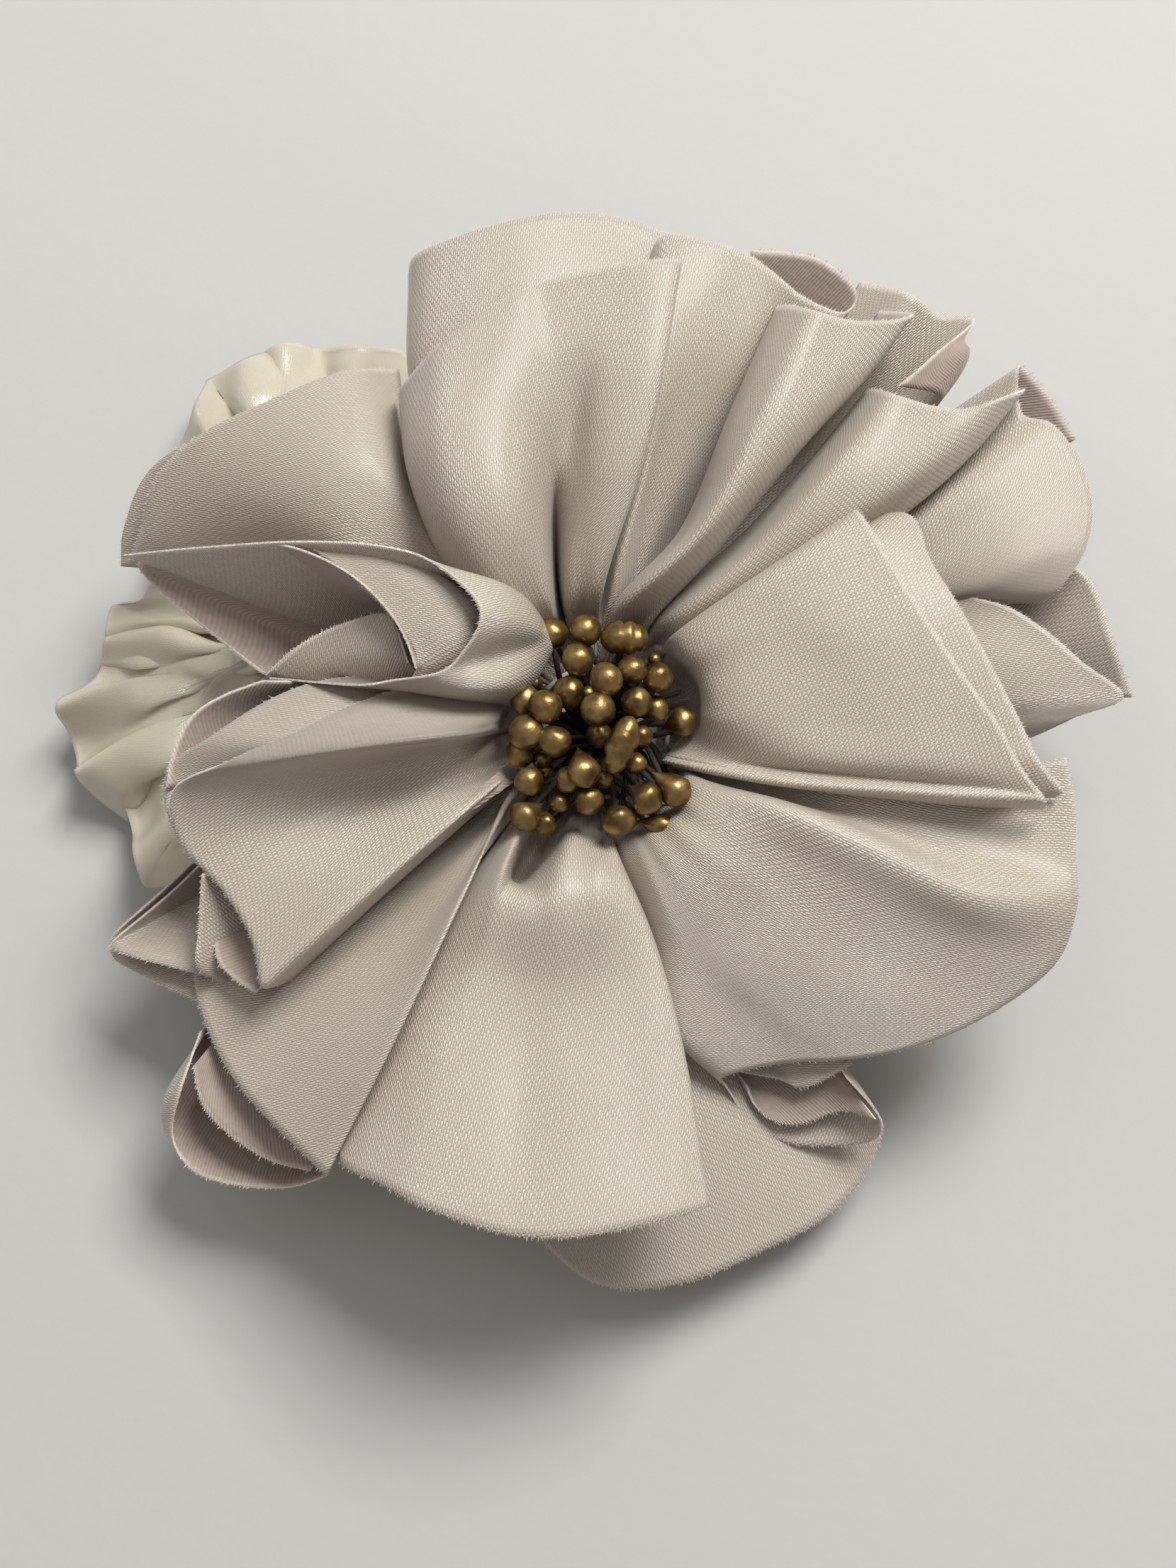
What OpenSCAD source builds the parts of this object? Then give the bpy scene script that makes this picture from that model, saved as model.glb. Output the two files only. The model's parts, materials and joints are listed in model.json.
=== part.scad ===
// Flower hair clip: a gathered blush satin flower with gold stamens and a smaller
// ivory satin flower, sewn on a felt base that is glued to a sprung steel clip.
// Millimetres, +Z up. The clip lies along X, and the part stands on z = 0.

/* [Flower] */
// Flower axis, along X
flower_x = 0; // [-2:0.5:2]
// Flower axis, along Y
flower_y = 2.8; // [-1:0.2:5]
// Thickness of a petal, with the air in its folds
petal_t = 1.0; // [0.8:0.1:1.1]
// Radius of the opening that the petals are gathered around
root_r = 5.5; // [5.2:0.1:6]
// Radius out to which the gathered petal roots lie flat
flat_r = 10; // [9:0.5:10.5]

/* [Ivory flower] */
// Ivory flower axis, along X from the blush one
ivory_dx = -28.5; // [-31:0.5:-26]
// Ivory flower axis, along Y from the blush one
ivory_dy = 9.5; // [7:0.5:11]
// Reach of the ivory petals
ivory_reach = 32; // [29:0.5:33]

/* [Stamens] */
// Number of stamens
stamens = 38; // [30:1:38]
// Radius out to the centres of the outer stamen heads
cluster_r = 10.8; // [10.6:0.1:11.4]
// Height of the middle head above the base board
cluster_h = 15.5; // [15:0.5:18]
// Radius of a stamen's stem
stem_r = 0.3; // [0.25:0.05:0.3]

/* [Base] */
// Thickness of the felt
felt_t = 1.6; // [1.2:0.1:1.6]
// Thickness of the buckram discs
board_t = 1.0; // [0.8:0.1:1]
// Thickness of the glue between the clip and the felt
glue_t = 0.4; // [0.3:0.1:0.5]

/* [Clip] */
// Length of the clip
clip_len = 76; // [74:1:80]
// Width of the upper arm's jaw
arm_w = 9; // [8.6:0.2:10]
// Width of the finger levers at their ends
lever_w = 11; // [10:0.5:12]
// Thickness of the steel strip
strip_t = 0.8; // [0.7:0.05:0.8]
// Height of the clip, from the surface to the top of its upper arm
clip_h = 12; // [12:0.1:12.5]
// Hinge pin radius
pin_r = 1.0; // [0.9:0.05:1.05]
// Spring wire diameter
wire_d = 0.8; // [0.7:0.05:0.8]
// Number of turns in the spring
turns = 5; // [4:1:5]

/* [Hidden] */
$fn = 48;

// The clip. Its hinge runs along Y.
half_len = clip_len / 2;
hinge_x = -12;
hinge_z = clip_h - 4.6;
ear_r = 2.2;
pin_clear = 0.03;
bore_clear = 0.06;
side_clear = 0.2;
lower_w = arm_w - 2 * strip_t - 2 * side_clear;
upper_under = clip_h - strip_t;
jaw_gap = 0.1;
flange_top = upper_under - jaw_gap;
// The lower strip's underside, from the lever's end to the jaw's tip.
lever_end = [-half_len, 0];
knee = [hinge_x - 4, 3.5];
jaw_tip = [half_len - 1, 7.8];
tooth_pitch = 2;
tooth_deep = 0.9;
teeth = 8;
rivet_r = 1.7;
rivet_t = 0.6;

// The spring. Its coil is round the pin, and its two legs press the levers apart.
coil_r = pin_r + 0.25 + wire_d / 2;
coil_steps = 18;
wire_sides = 8;
coil_pitch = 1.04 * wire_d;
leg_x = -27;
leg_gap = 0.06;
leg_seat = 0.15;

// The base: a patch of glue, a felt with two round ends, and a stiff disc under each flower.
glue_len = 36;
glue_inset = 0.6;
blush_felt_r = 20;
ivory_felt_r = 13;
bridge_share = 0.9;
blush_board_r = 14;
ivory_board_r = 8;

// Heights of the stack above the clip.
felt_z = clip_h + glue_t;
board_z = felt_z + felt_t;
petal_z = board_z + board_t;
root_lift = 0.1;
layer_step = petal_t + 0.4;
flower_pos = [flower_x, flower_y];
ivory_pos = [flower_x + ivory_dx, flower_y + ivory_dy];
ivory_root_r = 3;
arch_power = 1.25;

// Petals: name, first and last angle in degrees, reach from the axis, height of the
// rim's underside, extra height of the crown, and layer (0 is under 1).
BLUSH = [
  ["petal_top_front",       81, 118, 52, 30, 13, 1],
  ["petal_upper_left",     119, 156, 55, 23, 13, 1],
  ["petal_left_cone",      157, 177, 54, 26, 15, 1],
  ["petal_left",           178, 217, 49, 20, 14, 1],
  ["petal_lower_left",     218, 238, 58, 12, 15, 1],
  ["petal_bottom_front",   239, 283, 57, 12, 17, 1],
  ["petal_lower_right",    284, 350, 57, 15, 17, 1],
  ["petal_right_front",    351, 398, 51, 22, 15, 1],
  ["petal_pleat_low",       39,  51, 58, 22, 13, 1],
  ["petal_pleat_middle",    52,  65, 57, 24, 13, 1],
  ["petal_pleat_high",      66,  80, 55, 26, 11, 1],
  ["petal_top_back",        84, 112, 56, 20,  8, 0],
  ["petal_upper_right_back", 42, 61, 60,  4,  9, 0],
  ["petal_right_back",      15,  37, 59, 12,  9, 0],
  ["petal_right_low",       -5,  12, 60,  0,  9, 0],
  ["petal_bottom_back",    262, 300, 62,  0,  9, 0],
  ["petal_lower_left_curl", 214, 236, 64, 0,  9, 0],
  ["petal_left_tip",       196, 209, 60,  8,  8, 0]
];
IVORY = [
  ["ivory_petal_1",  78, 110, ivory_reach,       0, 8, 0],
  ["ivory_petal_2", 112, 144, ivory_reach - 1,   4, 8, 0],
  ["ivory_petal_3", 146, 182, ivory_reach,       0, 8, 0],
  ["ivory_petal_4", 184, 220, ivory_reach - 0.5, 3, 8, 0],
  ["ivory_petal_5", 222, 256, ivory_reach - 0.5, 1, 8, 0]
];

// ---- Clip ----

// A shape drawn in the X-Z plane, given a width along Y about the middle.
module across(width) {
  rotate([90, 0, 0]) linear_extrude(width, center = true) children();
}

// Plan of an arm: a narrow jaw with a round tip, and a lever that widens to its end.
module arm_plan(jaw_w, reach) {
  corner = 3;
  translate([reach - jaw_w / 2, 0]) circle(d = jaw_w);
  polygon([
    [hinge_x - 4, -jaw_w / 2], [reach - jaw_w / 2, -jaw_w / 2],
    [reach - jaw_w / 2, jaw_w / 2], [hinge_x - 4, jaw_w / 2]
  ]);
  polygon([
    [hinge_x - 4, jaw_w / 2], [-half_len + corner, lever_w / 2],
    [-half_len + corner, -lever_w / 2], [hinge_x - 4, -jaw_w / 2]
  ]);
  translate([-half_len, -lever_w / 2 + corner]) square([corner, lever_w - 2 * corner]);
  for (side = [-1, 1])
    translate([-half_len + corner, side * (lever_w / 2 - corner)]) circle(corner);
}

// Two side walls of one strip thickness, whose outer faces are width apart.
module side_walls(width) {
  for (side = [-1, 1])
    translate([0, side * (width - strip_t) / 2, 0]) across(strip_t) children();
}

module pin_hole(radius) {
  translate([hinge_x, 0, hinge_z])
    rotate([90, 0, 0]) cylinder(r = radius, h = 3 * arm_w, center = true);
}

// The flat arm that the felt is glued to. Two ears hang from it and hold the pin.
module upper_arm() {
  color("silver") difference() {
    union() {
      translate([0, 0, upper_under]) linear_extrude(strip_t) arm_plan(arm_w, half_len);
      side_walls(arm_w) {
        translate([hinge_x, hinge_z]) circle(ear_r);
        polygon([
          [hinge_x - ear_r, hinge_z], [hinge_x + ear_r, hinge_z],
          [hinge_x + 4.5, upper_under + 0.1], [hinge_x - 4.5, upper_under + 0.1]
        ]);
      }
    }
    pin_hole(pin_r + pin_clear);
  }
}

// Side view of the lower strip: lever, knee and jaw.
module lower_strip_side() {
  up = [0, strip_t];
  polygon([lever_end, knee, jaw_tip, jaw_tip + up, knee + up, lever_end + up]);
}

// Side view of the jaw's wall: the ear, then a top edge that ends in teeth.
module lower_wall_side() {
  wall_end = jaw_tip[0] - 2;
  first_tooth = wall_end - teeth * tooth_pitch;
  throat = hinge_x + 9;
  translate([hinge_x, hinge_z]) circle(ear_r);
  polygon(concat(
    [knee + [1, 0.2], [wall_end, jaw_tip[1]], [wall_end, flange_top]],
    [for (i = [teeth - 1 : -1 : 0]) each [
      [first_tooth + (i + 0.5) * tooth_pitch, flange_top - tooth_deep],
      [first_tooth + i * tooth_pitch, flange_top]
    ]],
    [[throat, flange_top], [hinge_x + 2, hinge_z + 1.2], [hinge_x - ear_r, hinge_z]]
  ));
}

// The moving arm: a channel with toothed edges, and a lever that the fingers press.
module lower_arm() {
  color("silver") difference() {
    union() {
      intersection() {
        across(lever_w + 2) lower_strip_side();
        linear_extrude(clip_h) arm_plan(lower_w, jaw_tip[0]);
      }
      side_walls(lower_w) lower_wall_side();
    }
    pin_hole(pin_r + bore_clear);
  }
}

module hinge_pin() {
  color("gainsboro") translate([hinge_x, 0, hinge_z]) rotate([90, 0, 0]) {
    cylinder(r = pin_r, h = arm_w + 0.2, center = true);
    for (side = [-1, 1])
      translate([0, 0, side * (arm_w / 2 + 0.1 + rivet_t / 2)])
        cylinder(r = rivet_r, h = rivet_t, center = true);
  }
}

// A tube swept along a path in 3-D, with its ends closed.
module swept_wire(path, radius, sides) {
  function unit(v) = v / norm(v);
  function along(i) = unit(path[min(i + 1, len(path) - 1)] - path[max(i - 1, 0)]);
  function ring(i) = let(
    d = along(i), a = unit(cross(d, [0.31, 0.02, 0.95])), b = cross(d, a)
  ) [for (k = [0 : sides - 1]) path[i] + radius * (a * cos(360 * k / sides) + b * sin(360 * k / sides))];
  points = [for (i = [0 : len(path) - 1]) each ring(i)];
  last = len(path) - 1;
  walls = [for (i = [0 : last - 1], k = [0 : sides - 1])
    let(n = (k + 1) % sides)
    [i * sides + k, i * sides + n, (i + 1) * sides + n, (i + 1) * sides + k]];
  start_cap = [[for (k = [sides - 1 : -1 : 0]) k]];
  end_cap = [[for (k = [0 : sides - 1]) last * sides + k]];
  polyhedron(points, concat(start_cap, walls, end_cap), convexity = 6);
}

// Torsion spring: a leg under the upper lever, the coil, and a leg on the lower lever.
module spring() {
  wire_r = wire_d / 2;
  coil_w = turns * coil_pitch;
  lower_slope = (knee[1] - lever_end[1]) / (knee[0] - lever_end[0]);
  lower_face = lever_end[1] + (leg_x - lever_end[0]) * lower_slope + strip_t;
  centre = [hinge_x, 0, hinge_z];
  upper_leg = [leg_x, -coil_w / 2, upper_under - wire_r - leg_gap];
  lower_leg = [leg_x, coil_w / 2, lower_face + wire_r + leg_seat];
  steps = turns * coil_steps + coil_steps / 2;
  coil = [for (i = [0 : steps]) let(a = 90 - 360 * i / coil_steps, s = i / steps)
    centre + [coil_r * cos(a), (s - 0.5) * coil_w, coil_r * sin(a)]];
  color("lightgray") swept_wire(concat([upper_leg], coil, [lower_leg]), wire_r, wire_sides);
}

// ---- Base ----

module glue_layer() {
  color("ivory") translate([0, 0, clip_h]) linear_extrude(glue_t)
    translate([-glue_len / 2, -arm_w / 2 + glue_inset])
      square([glue_len, arm_w - 2 * glue_inset]);
}

// Two discs joined by a bridge that is a little narrower than they are.
module felt_base() {
  along = ivory_pos - flower_pos;
  side = bridge_share * [-along[1], along[0]] / norm(along);
  color("bisque") translate([0, 0, felt_z]) union() {
    translate(flower_pos) cylinder(r = blush_felt_r, h = felt_t);
    translate(ivory_pos) cylinder(r = ivory_felt_r, h = felt_t);
    linear_extrude(felt_t) polygon([
      flower_pos + side * blush_felt_r, ivory_pos + side * ivory_felt_r,
      ivory_pos - side * ivory_felt_r, flower_pos - side * blush_felt_r
    ]);
  }
}

module board(pos, radius) {
  color("linen") translate([pos[0], pos[1], board_z]) cylinder(r = radius, h = board_t);
}

module blush_board() {
  board(flower_pos, blush_board_r);
}

module ivory_board() {
  board(ivory_pos, ivory_board_r);
}

// ---- Petals ----

// Plan of a petal: a wedge between two angles, with a round outer edge.
module petal_plan(from, to, reach) {
  middle = (from + to) / 2;
  centre = 0.45 * reach;
  far = 1.3 * reach;
  steps = 4;
  intersection() {
    polygon(concat(
      [[0, 0]],
      [for (i = [0 : steps]) let(a = from + (to - from) * i / steps) far * [cos(a), sin(a)]]
    ));
    rotate(middle) translate([centre, 0]) circle(reach - centre);
  }
}

// Underside of a petal at share t of the way from its flat root to its rim.
function petal_under(t, root, rim, crown) =
  root + (rim - root) * t + crown * pow(sin(180 * t), arch_power);

// A petal: a slice of a turned dome. It lies flat at its root and arches out to its rim.
module petal(p, inner) {
  reach = p[3];
  root = petal_z + root_lift + p[6] * layer_step;
  steps = 14;
  flat_to = inner + flat_r - root_r;
  under = [for (i = [0 : steps]) let(t = i / steps)
    [flat_to + (reach - flat_to) * t, petal_under(t, root, p[4], p[5])]];
  profile = concat([[inner, root]], under);
  lifted = [for (i = [len(profile) - 1 : -1 : 0]) profile[i] + [0, petal_t]];
  intersection() {
    rotate_extrude($fn = 96) polygon(concat(profile, lifted));
    linear_extrude(2 * reach) petal_plan(p[1], p[2], reach);
  }
}

module blush_petal(p) {
  color([0.84, 0.78, 0.74]) translate(flower_pos) petal(p, root_r);
}

module ivory_petal(p) {
  color([0.93, 0.92, 0.86]) translate(ivory_pos) petal(p, ivory_root_r);
}

// ---- Stamens ----

golden = 137.508;
bundle_r = 3.2;
bundle_z = petal_z + 0.2;
binder_gap = 1.1;
binder_r = 0.3;
// How much lower the outer heads stand, and how much lower every third head stands.
outer_drop = 4.6;
third_drop = 1.6;
// Length of a drop's cone, from the middle of its head.
drop_len = 3.4;
// The gathering thread's ring, round the petals' roots.
thread_ring_r = 7.6;
thread_r = 0.25;

// Each stamen's share of the way out, direction and size are set by its number.
function share(i) = sqrt((i + 0.5) / stamens);
function turn(i) = i * golden;
function foot(i) = [
  bundle_r * share(i) * cos(turn(i)), bundle_r * share(i) * sin(turn(i)), bundle_z
];
function head_place(i) = [
  cluster_r * share(i) * cos(turn(i)), cluster_r * share(i) * sin(turn(i)),
  bundle_z + cluster_h - outer_drop * pow(share(i), 2) - (i % 3 == 1 ? third_drop : 0)
];
function head_r(i) = 1.36 + 0.1 * sin(i * 97);
function is_drop(i) = share(i) > 0.6 && i % 2 == 0;

// Places children with +Z along the stamen, at its head's centre.
module at_head(i) {
  d = head_place(i) - foot(i);
  translate(head_place(i))
    rotate([0, acos(d[2] / norm(d)), atan2(d[1], d[0])]) children();
}

module stamen_stems() {
  color([0.28, 0.2, 0.1]) translate(flower_pos)
    for (i = [0 : stamens - 1]) at_head(i)
      translate([0, 0, -norm(head_place(i) - foot(i))])
        cylinder(r = stem_r, h = norm(head_place(i) - foot(i)) - 0.3, $fn = 16);
}

module stamen_heads_round() {
  color([0.6, 0.45, 0.22]) translate(flower_pos)
    for (i = [0 : stamens - 1]) if (!is_drop(i)) at_head(i)
      sphere(head_r(i), $fn = 32);
}

// A pip with a round end and a cone that runs down to the stem.
module stamen_heads_drop() {
  color([0.6, 0.45, 0.22]) translate(flower_pos)
    for (i = [0 : stamens - 1]) if (is_drop(i)) at_head(i)
      rotate_extrude($fn = 32) intersection() {
        union() {
          circle(head_r(i));
          polygon([[-head_r(i) * 0.94, -0.45], [0, -drop_len], [head_r(i) * 0.94, -0.45]]);
        }
        translate([0, -2 * drop_len]) square([2 * head_r(i), 3 * drop_len]);
      }
}

module binding_wire() {
  color("darkgoldenrod") translate([flower_x, flower_y, bundle_z + binder_r])
    rotate_extrude() translate([bundle_r + binder_gap, 0]) circle(binder_r, $fn = 24);
}

module gathering_thread() {
  top = petal_z + root_lift + layer_step + petal_t;
  color([0.8, 0.74, 0.7]) translate([flower_x, flower_y, top + thread_r])
    rotate_extrude() translate([thread_ring_r, 0]) circle(thread_r, $fn = 24);
}

// ---- Nodes ----

upper_arm();
lower_arm();
hinge_pin();
spring();
glue_layer();
felt_base();
blush_board();
ivory_board();
stamen_stems();
stamen_heads_round();
stamen_heads_drop();
binding_wire();
gathering_thread();
for (p = BLUSH) blush_petal(p);
for (p = IVORY) ivory_petal(p);
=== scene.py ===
"""The looks of the flower hair clip: satin petals, gold stamens, felt base and steel clip.

Petals are lofted through ribs. A rib runs from the gathered middle out to the rim, and each of
its points is (angle, reach, height): the angle and the reach, in millimetres, are as the camera
sees them about the flower's axis, and the height is above the surface that the part stands on.
"""
import itertools
import json
import math
import random

import bmesh
import bpy
import numpy as np
from mathutils import Matrix, Vector, noise


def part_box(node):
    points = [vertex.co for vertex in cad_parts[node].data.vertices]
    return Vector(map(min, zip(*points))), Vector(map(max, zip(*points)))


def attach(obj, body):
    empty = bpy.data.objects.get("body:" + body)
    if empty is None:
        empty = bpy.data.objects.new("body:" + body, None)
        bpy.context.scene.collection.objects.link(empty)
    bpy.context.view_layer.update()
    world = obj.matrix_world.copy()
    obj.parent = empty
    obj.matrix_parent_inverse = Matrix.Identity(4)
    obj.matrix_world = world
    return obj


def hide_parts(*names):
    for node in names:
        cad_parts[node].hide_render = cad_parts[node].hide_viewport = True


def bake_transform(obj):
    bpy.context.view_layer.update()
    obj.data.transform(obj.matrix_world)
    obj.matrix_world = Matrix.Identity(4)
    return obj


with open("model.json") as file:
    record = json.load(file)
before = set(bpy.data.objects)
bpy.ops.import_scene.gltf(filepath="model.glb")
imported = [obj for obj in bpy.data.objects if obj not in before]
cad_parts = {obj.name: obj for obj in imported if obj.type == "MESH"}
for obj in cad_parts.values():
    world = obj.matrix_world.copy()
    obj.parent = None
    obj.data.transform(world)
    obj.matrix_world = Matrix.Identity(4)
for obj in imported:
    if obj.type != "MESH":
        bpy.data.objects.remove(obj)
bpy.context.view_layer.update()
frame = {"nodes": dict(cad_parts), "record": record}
MM = 0.001
rng = random.Random(7)

# ---- Camera, and the polar coordinates that it sees ----

LENS = 50
DISTANCE = 240
ELEVATION = math.radians(75)
FLOWER_HEIGHT = 20  # where the plane that reaches are measured in crosses the flower's axis
OFF_CENTRE = (1.3, 6.5)  # where the flower's axis shows, right of and above the middle
board_low, board_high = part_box("blush_board")
AXIS = np.array([(board_low.x + board_high.x) / 2, (board_low.y + board_high.y) / 2]) / MM
PETAL_HEIGHT = board_high.z / MM
RIGHT = np.array([1.0, 0.0, 0.0])
UP = np.array([0.0, math.sin(ELEVATION), math.cos(ELEVATION)])
BACK = np.array([0.0, -math.cos(ELEVATION), math.sin(ELEVATION)])
FLOWER = np.array([AXIS[0], AXIS[1], FLOWER_HEIGHT])
AIM = FLOWER - OFF_CENTRE[0] * RIGHT - OFF_CENTRE[1] * UP
EYE = AIM + DISTANCE * BACK


def seen(angle, reach, height, about=(0, 0)):
    """The point at a height that the camera sees at this angle and reach, in millimetres."""
    a = math.radians(angle)
    spot = FLOWER + (about[0] + reach * math.cos(a)) * RIGHT + (about[1] + reach * math.sin(a)) * UP
    ray = spot - EYE
    return EYE + ray * (height - EYE[2]) / ray[2]


def add_camera():
    """A camera at EYE that looks along -BACK."""
    data = bpy.data.cameras.new("camera")
    data.lens = LENS
    camera = bpy.data.objects.new("camera", data)
    bpy.context.scene.collection.objects.link(camera)
    turn = Matrix((RIGHT, UP, BACK)).transposed().to_4x4()
    camera.matrix_world = Matrix.Translation(Vector(EYE * MM)) @ turn
    bpy.context.scene.camera = camera


add_camera()


def new_piece(name, verts, faces, *materials):
    """An object in the scene, with its vertices given in millimetres."""
    mesh = bpy.data.meshes.new(name)
    mesh.from_pydata((np.asarray(verts) * MM).tolist(), [], faces)
    for material in materials:
        mesh.materials.append(material)
    piece = bpy.data.objects.new(name, mesh)
    bpy.context.scene.collection.objects.link(piece)
    return piece


# ---- Materials ----


class Nodes:
    """Short calls for building one material's nodes."""

    def __init__(self, name, color, roughness, **sockets):
        self.material = bpy.data.materials.new(name)
        self.material.use_nodes = True
        self.tree = self.material.node_tree
        self.shader = self.tree.nodes["Principled BSDF"]
        self.shader.inputs["Base Color"].default_value = (*color, 1)
        self.shader.inputs["Roughness"].default_value = roughness
        for socket, value in sockets.items():
            self.shader.inputs[socket.replace("_", " ")].default_value = value

    def new(self, kind, **settings):
        node = self.tree.nodes.new(kind)
        for key, value in settings.items():
            setattr(node, key, value)
        return node

    def put(self, socket, value):
        """Links another node's output to a socket, or sets the socket to a plain value."""
        if hasattr(value, "is_output"):
            self.tree.links.new(value, socket)
        else:
            socket.default_value = value

    def math(self, operation, a, b=0.0, c=0.0):
        node = self.new("ShaderNodeMath", operation=operation)
        for socket, value in zip(node.inputs, (a, b, c)):
            self.put(socket, value)
        return node.outputs[0]

    def uv(self):
        """The two coordinates along the cloth, in millimetres."""
        node = self.new("ShaderNodeUVMap", uv_map="UVMap")
        split = self.new("ShaderNodeSeparateXYZ")
        self.put(split.inputs[0], node.outputs[0])
        return split.outputs[0], split.outputs[1]

    def place(self):
        return self.new("ShaderNodeTexCoord").outputs["Object"]

    def noise(self, scale, detail=3.0, where=None, roughness=0.5):
        node = self.new("ShaderNodeTexNoise")
        self.put(node.inputs["Vector"], where if where is not None else self.place())
        node.inputs["Scale"].default_value = scale
        node.inputs["Detail"].default_value = detail
        node.inputs["Roughness"].default_value = roughness
        return node.outputs[0]

    def ramp(self, value, *stops):
        node = self.new("ShaderNodeValToRGB")
        self.put(node.inputs[0], value)
        elements = node.color_ramp.elements
        while len(elements) < len(stops):
            elements.new(0.5)
        for element, (position, color) in zip(elements, stops):
            element.position = position
            element.color = (*color, 1)
        return node.outputs[0]

    def mix(self, share, a, b, blend="MIX"):
        node = self.new("ShaderNodeMix", data_type="RGBA", blend_type=blend)
        for socket, value in ((node.inputs[0], share), (node.inputs[6], a), (node.inputs[7], b)):
            if isinstance(value, tuple):
                value = (*value, 1)
            self.put(socket, value)
        return node.outputs[2]

    def color(self, value):
        self.put(self.shader.inputs["Base Color"], value)

    def rough(self, value):
        self.put(self.shader.inputs["Roughness"], value)

    def bump(self, height, distance, strength=1.0):
        node = self.new("ShaderNodeBump")
        node.inputs["Strength"].default_value = strength
        node.inputs["Distance"].default_value = distance
        self.put(node.inputs["Height"], height)
        self.put(self.shader.inputs["Normal"], node.outputs[0])


def weave(n, pitch, dash, step):
    """Height of a satin weave, 0 to 1: rows of long dashes, each row set on from the last."""
    u, v = n.uv()
    wander = n.math("MULTIPLY", n.noise(2200, 1), 0.22)
    row = n.math("DIVIDE", n.math("ADD", u, wander), pitch)
    across = n.math("SINE", n.math("MULTIPLY", n.math("FRACT", row), math.pi))
    shift = n.math("MULTIPLY", n.math("FLOOR", row), step)
    along = n.math("FRACT", n.math("ADD", n.math("DIVIDE", v, dash), shift))
    hump = n.math("POWER", n.math("SINE", n.math("MULTIPLY", along, math.pi)), 0.5)
    return n.math("MULTIPLY", across, hump)


EDGE_PALE = (0.80, 0.71, 0.635)
GATHER_SHADE = (0.09, 0.06, 0.045)  # painted shade: the colour deep in the gathers, where little light reaches


def satin(name, deep, mid, bright, weave_size, contrast, depth, roughness, **sockets):
    """Satin, face up: a soft sheen over the floats of the weave, painted shade in the gaps between the
    floats, and soft patches that lean to its lit colour at random.

    The weave's size is its pitch, the length of its dashes, and how far each row is set on."""
    n = Nodes(name, mid, roughness, **sockets)
    threads = weave(n, *weave_size)
    slub = n.noise(900, 2)
    # Soft patches that lean from the cloth's own colour to its lit copy at random.
    tone = n.mix(n.noise(60, 3), mid, bright)
    # Painted shade: the gaps between the weave's floats lean to the shaded colour.
    tone = n.mix(n.math("MULTIPLY", n.math("SUBTRACT", 1.0, threads), contrast), tone, deep)
    n.color(gather_shade_and_pale_rim(n, n.mix(n.math("MULTIPLY", slub, 0.15), tone, deep)))
    n.rough(n.math("ADD", roughness - 0.07, n.math("MULTIPLY", slub, 0.14)))
    n.bump(n.math("ADD", threads, n.math("MULTIPLY", slub, 0.3)), depth)
    return n.material


def gather_shade_and_pale_rim(n, tone):
    """A colour with painted shade that darkens it in the tight gathers, and that turns pale where the
    rim's threads open up.

    The cloth's two attributes are distances in millimetres."""
    pinch = n.new("ShaderNodeAttribute", attribute_name="root_distance").outputs["Fac"]
    # Painted shade: its share is largest at the root and gone about six millimetres out.
    tight = n.math("MULTIPLY_ADD", pinch, -0.2, 1.15)
    tight.node.use_clamp = True
    tone = n.mix(n.math("MULTIPLY", tight, 0.8), tone, GATHER_SHADE)
    rim = n.new("ShaderNodeAttribute", attribute_name="rim_distance").outputs["Fac"]
    ragged = n.math("MULTIPLY_ADD", n.noise(2600, 2), 0.5, -0.25)
    near = n.math("SUBTRACT", 1.0, n.math("DIVIDE", n.math("ADD", rim, ragged), 0.55))
    near.node.use_clamp = True
    return n.mix(n.math("MULTIPLY", near, 0.75), tone, EDGE_PALE)


RIB_PITCH = 0.36  # between the fine ribs of the wrong side, in millimetres


def crepe(name, deep, mid, roughness):
    """The wrong side of satin: matte, with fine ribs that are broken up, and painted shade that darkens
    the colour where the ribs and grain sit low.
    """
    n = Nodes(name, mid, roughness, Specular_IOR_Level=0.25, Sheen_Weight=0.3,
              Sheen_Roughness=0.5)
    u, v = n.uv()
    rib = n.math("SINE", n.math("MULTIPLY", u, 2 * math.pi / RIB_PITCH))
    grain = n.noise(1500, 3)
    height = n.math("ADD", n.math("MULTIPLY", rib, 0.35), grain)
    # Painted shade: the low parts of the ribs and grain take the darker colour.
    n.color(gather_shade_and_pale_rim(n, n.mix(n.math("MULTIPLY_ADD", height, 0.45, 0.1), deep, mid)))
    n.bump(height, 0.00006)
    return n.material


def simple(name, color, roughness, grain=0.0, scale=800, **sockets):
    """A surface with fine grain in its colour, roughness and height."""
    n = Nodes(name, color, roughness, **sockets)
    speck = n.noise(scale, 4)
    dark = tuple(0.7 * c for c in color)
    n.color(n.mix(n.math("MULTIPLY", speck, 0.5), color, dark))
    n.rough(n.math("ADD", roughness - 0.08, n.math("MULTIPLY", speck, 0.16)))
    if grain:
        n.bump(speck, grain)
    return n.material


def painted_gold():
    """Thick bronze-gold paint with brushed-on unevenness, and painted shade that makes it darker in its
    hollows.
    """
    n = Nodes("stamen_gold_paint", (0.42, 0.29, 0.11), 0.36, Metallic=0.85, Specular_IOR_Level=0.6)
    relief_and_shade = n.noise(420, 4)
    pits = n.noise(1600, 3)
    # Painted shade: the same noise sinks the bump and darkens the colour, so the hollows are darker.
    tone = n.ramp(relief_and_shade, (0.3, (0.13, 0.075, 0.026)), (0.5, (0.27, 0.172, 0.064)),
                  (0.72, (0.43, 0.30, 0.13)))
    n.color(tone)
    n.rough(n.math("MULTIPLY_ADD", relief_and_shade, 0.3, 0.2))
    n.bump(n.math("ADD", relief_and_shade, n.math("MULTIPLY", pits, 0.3)), 0.00012)
    return n.material


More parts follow.
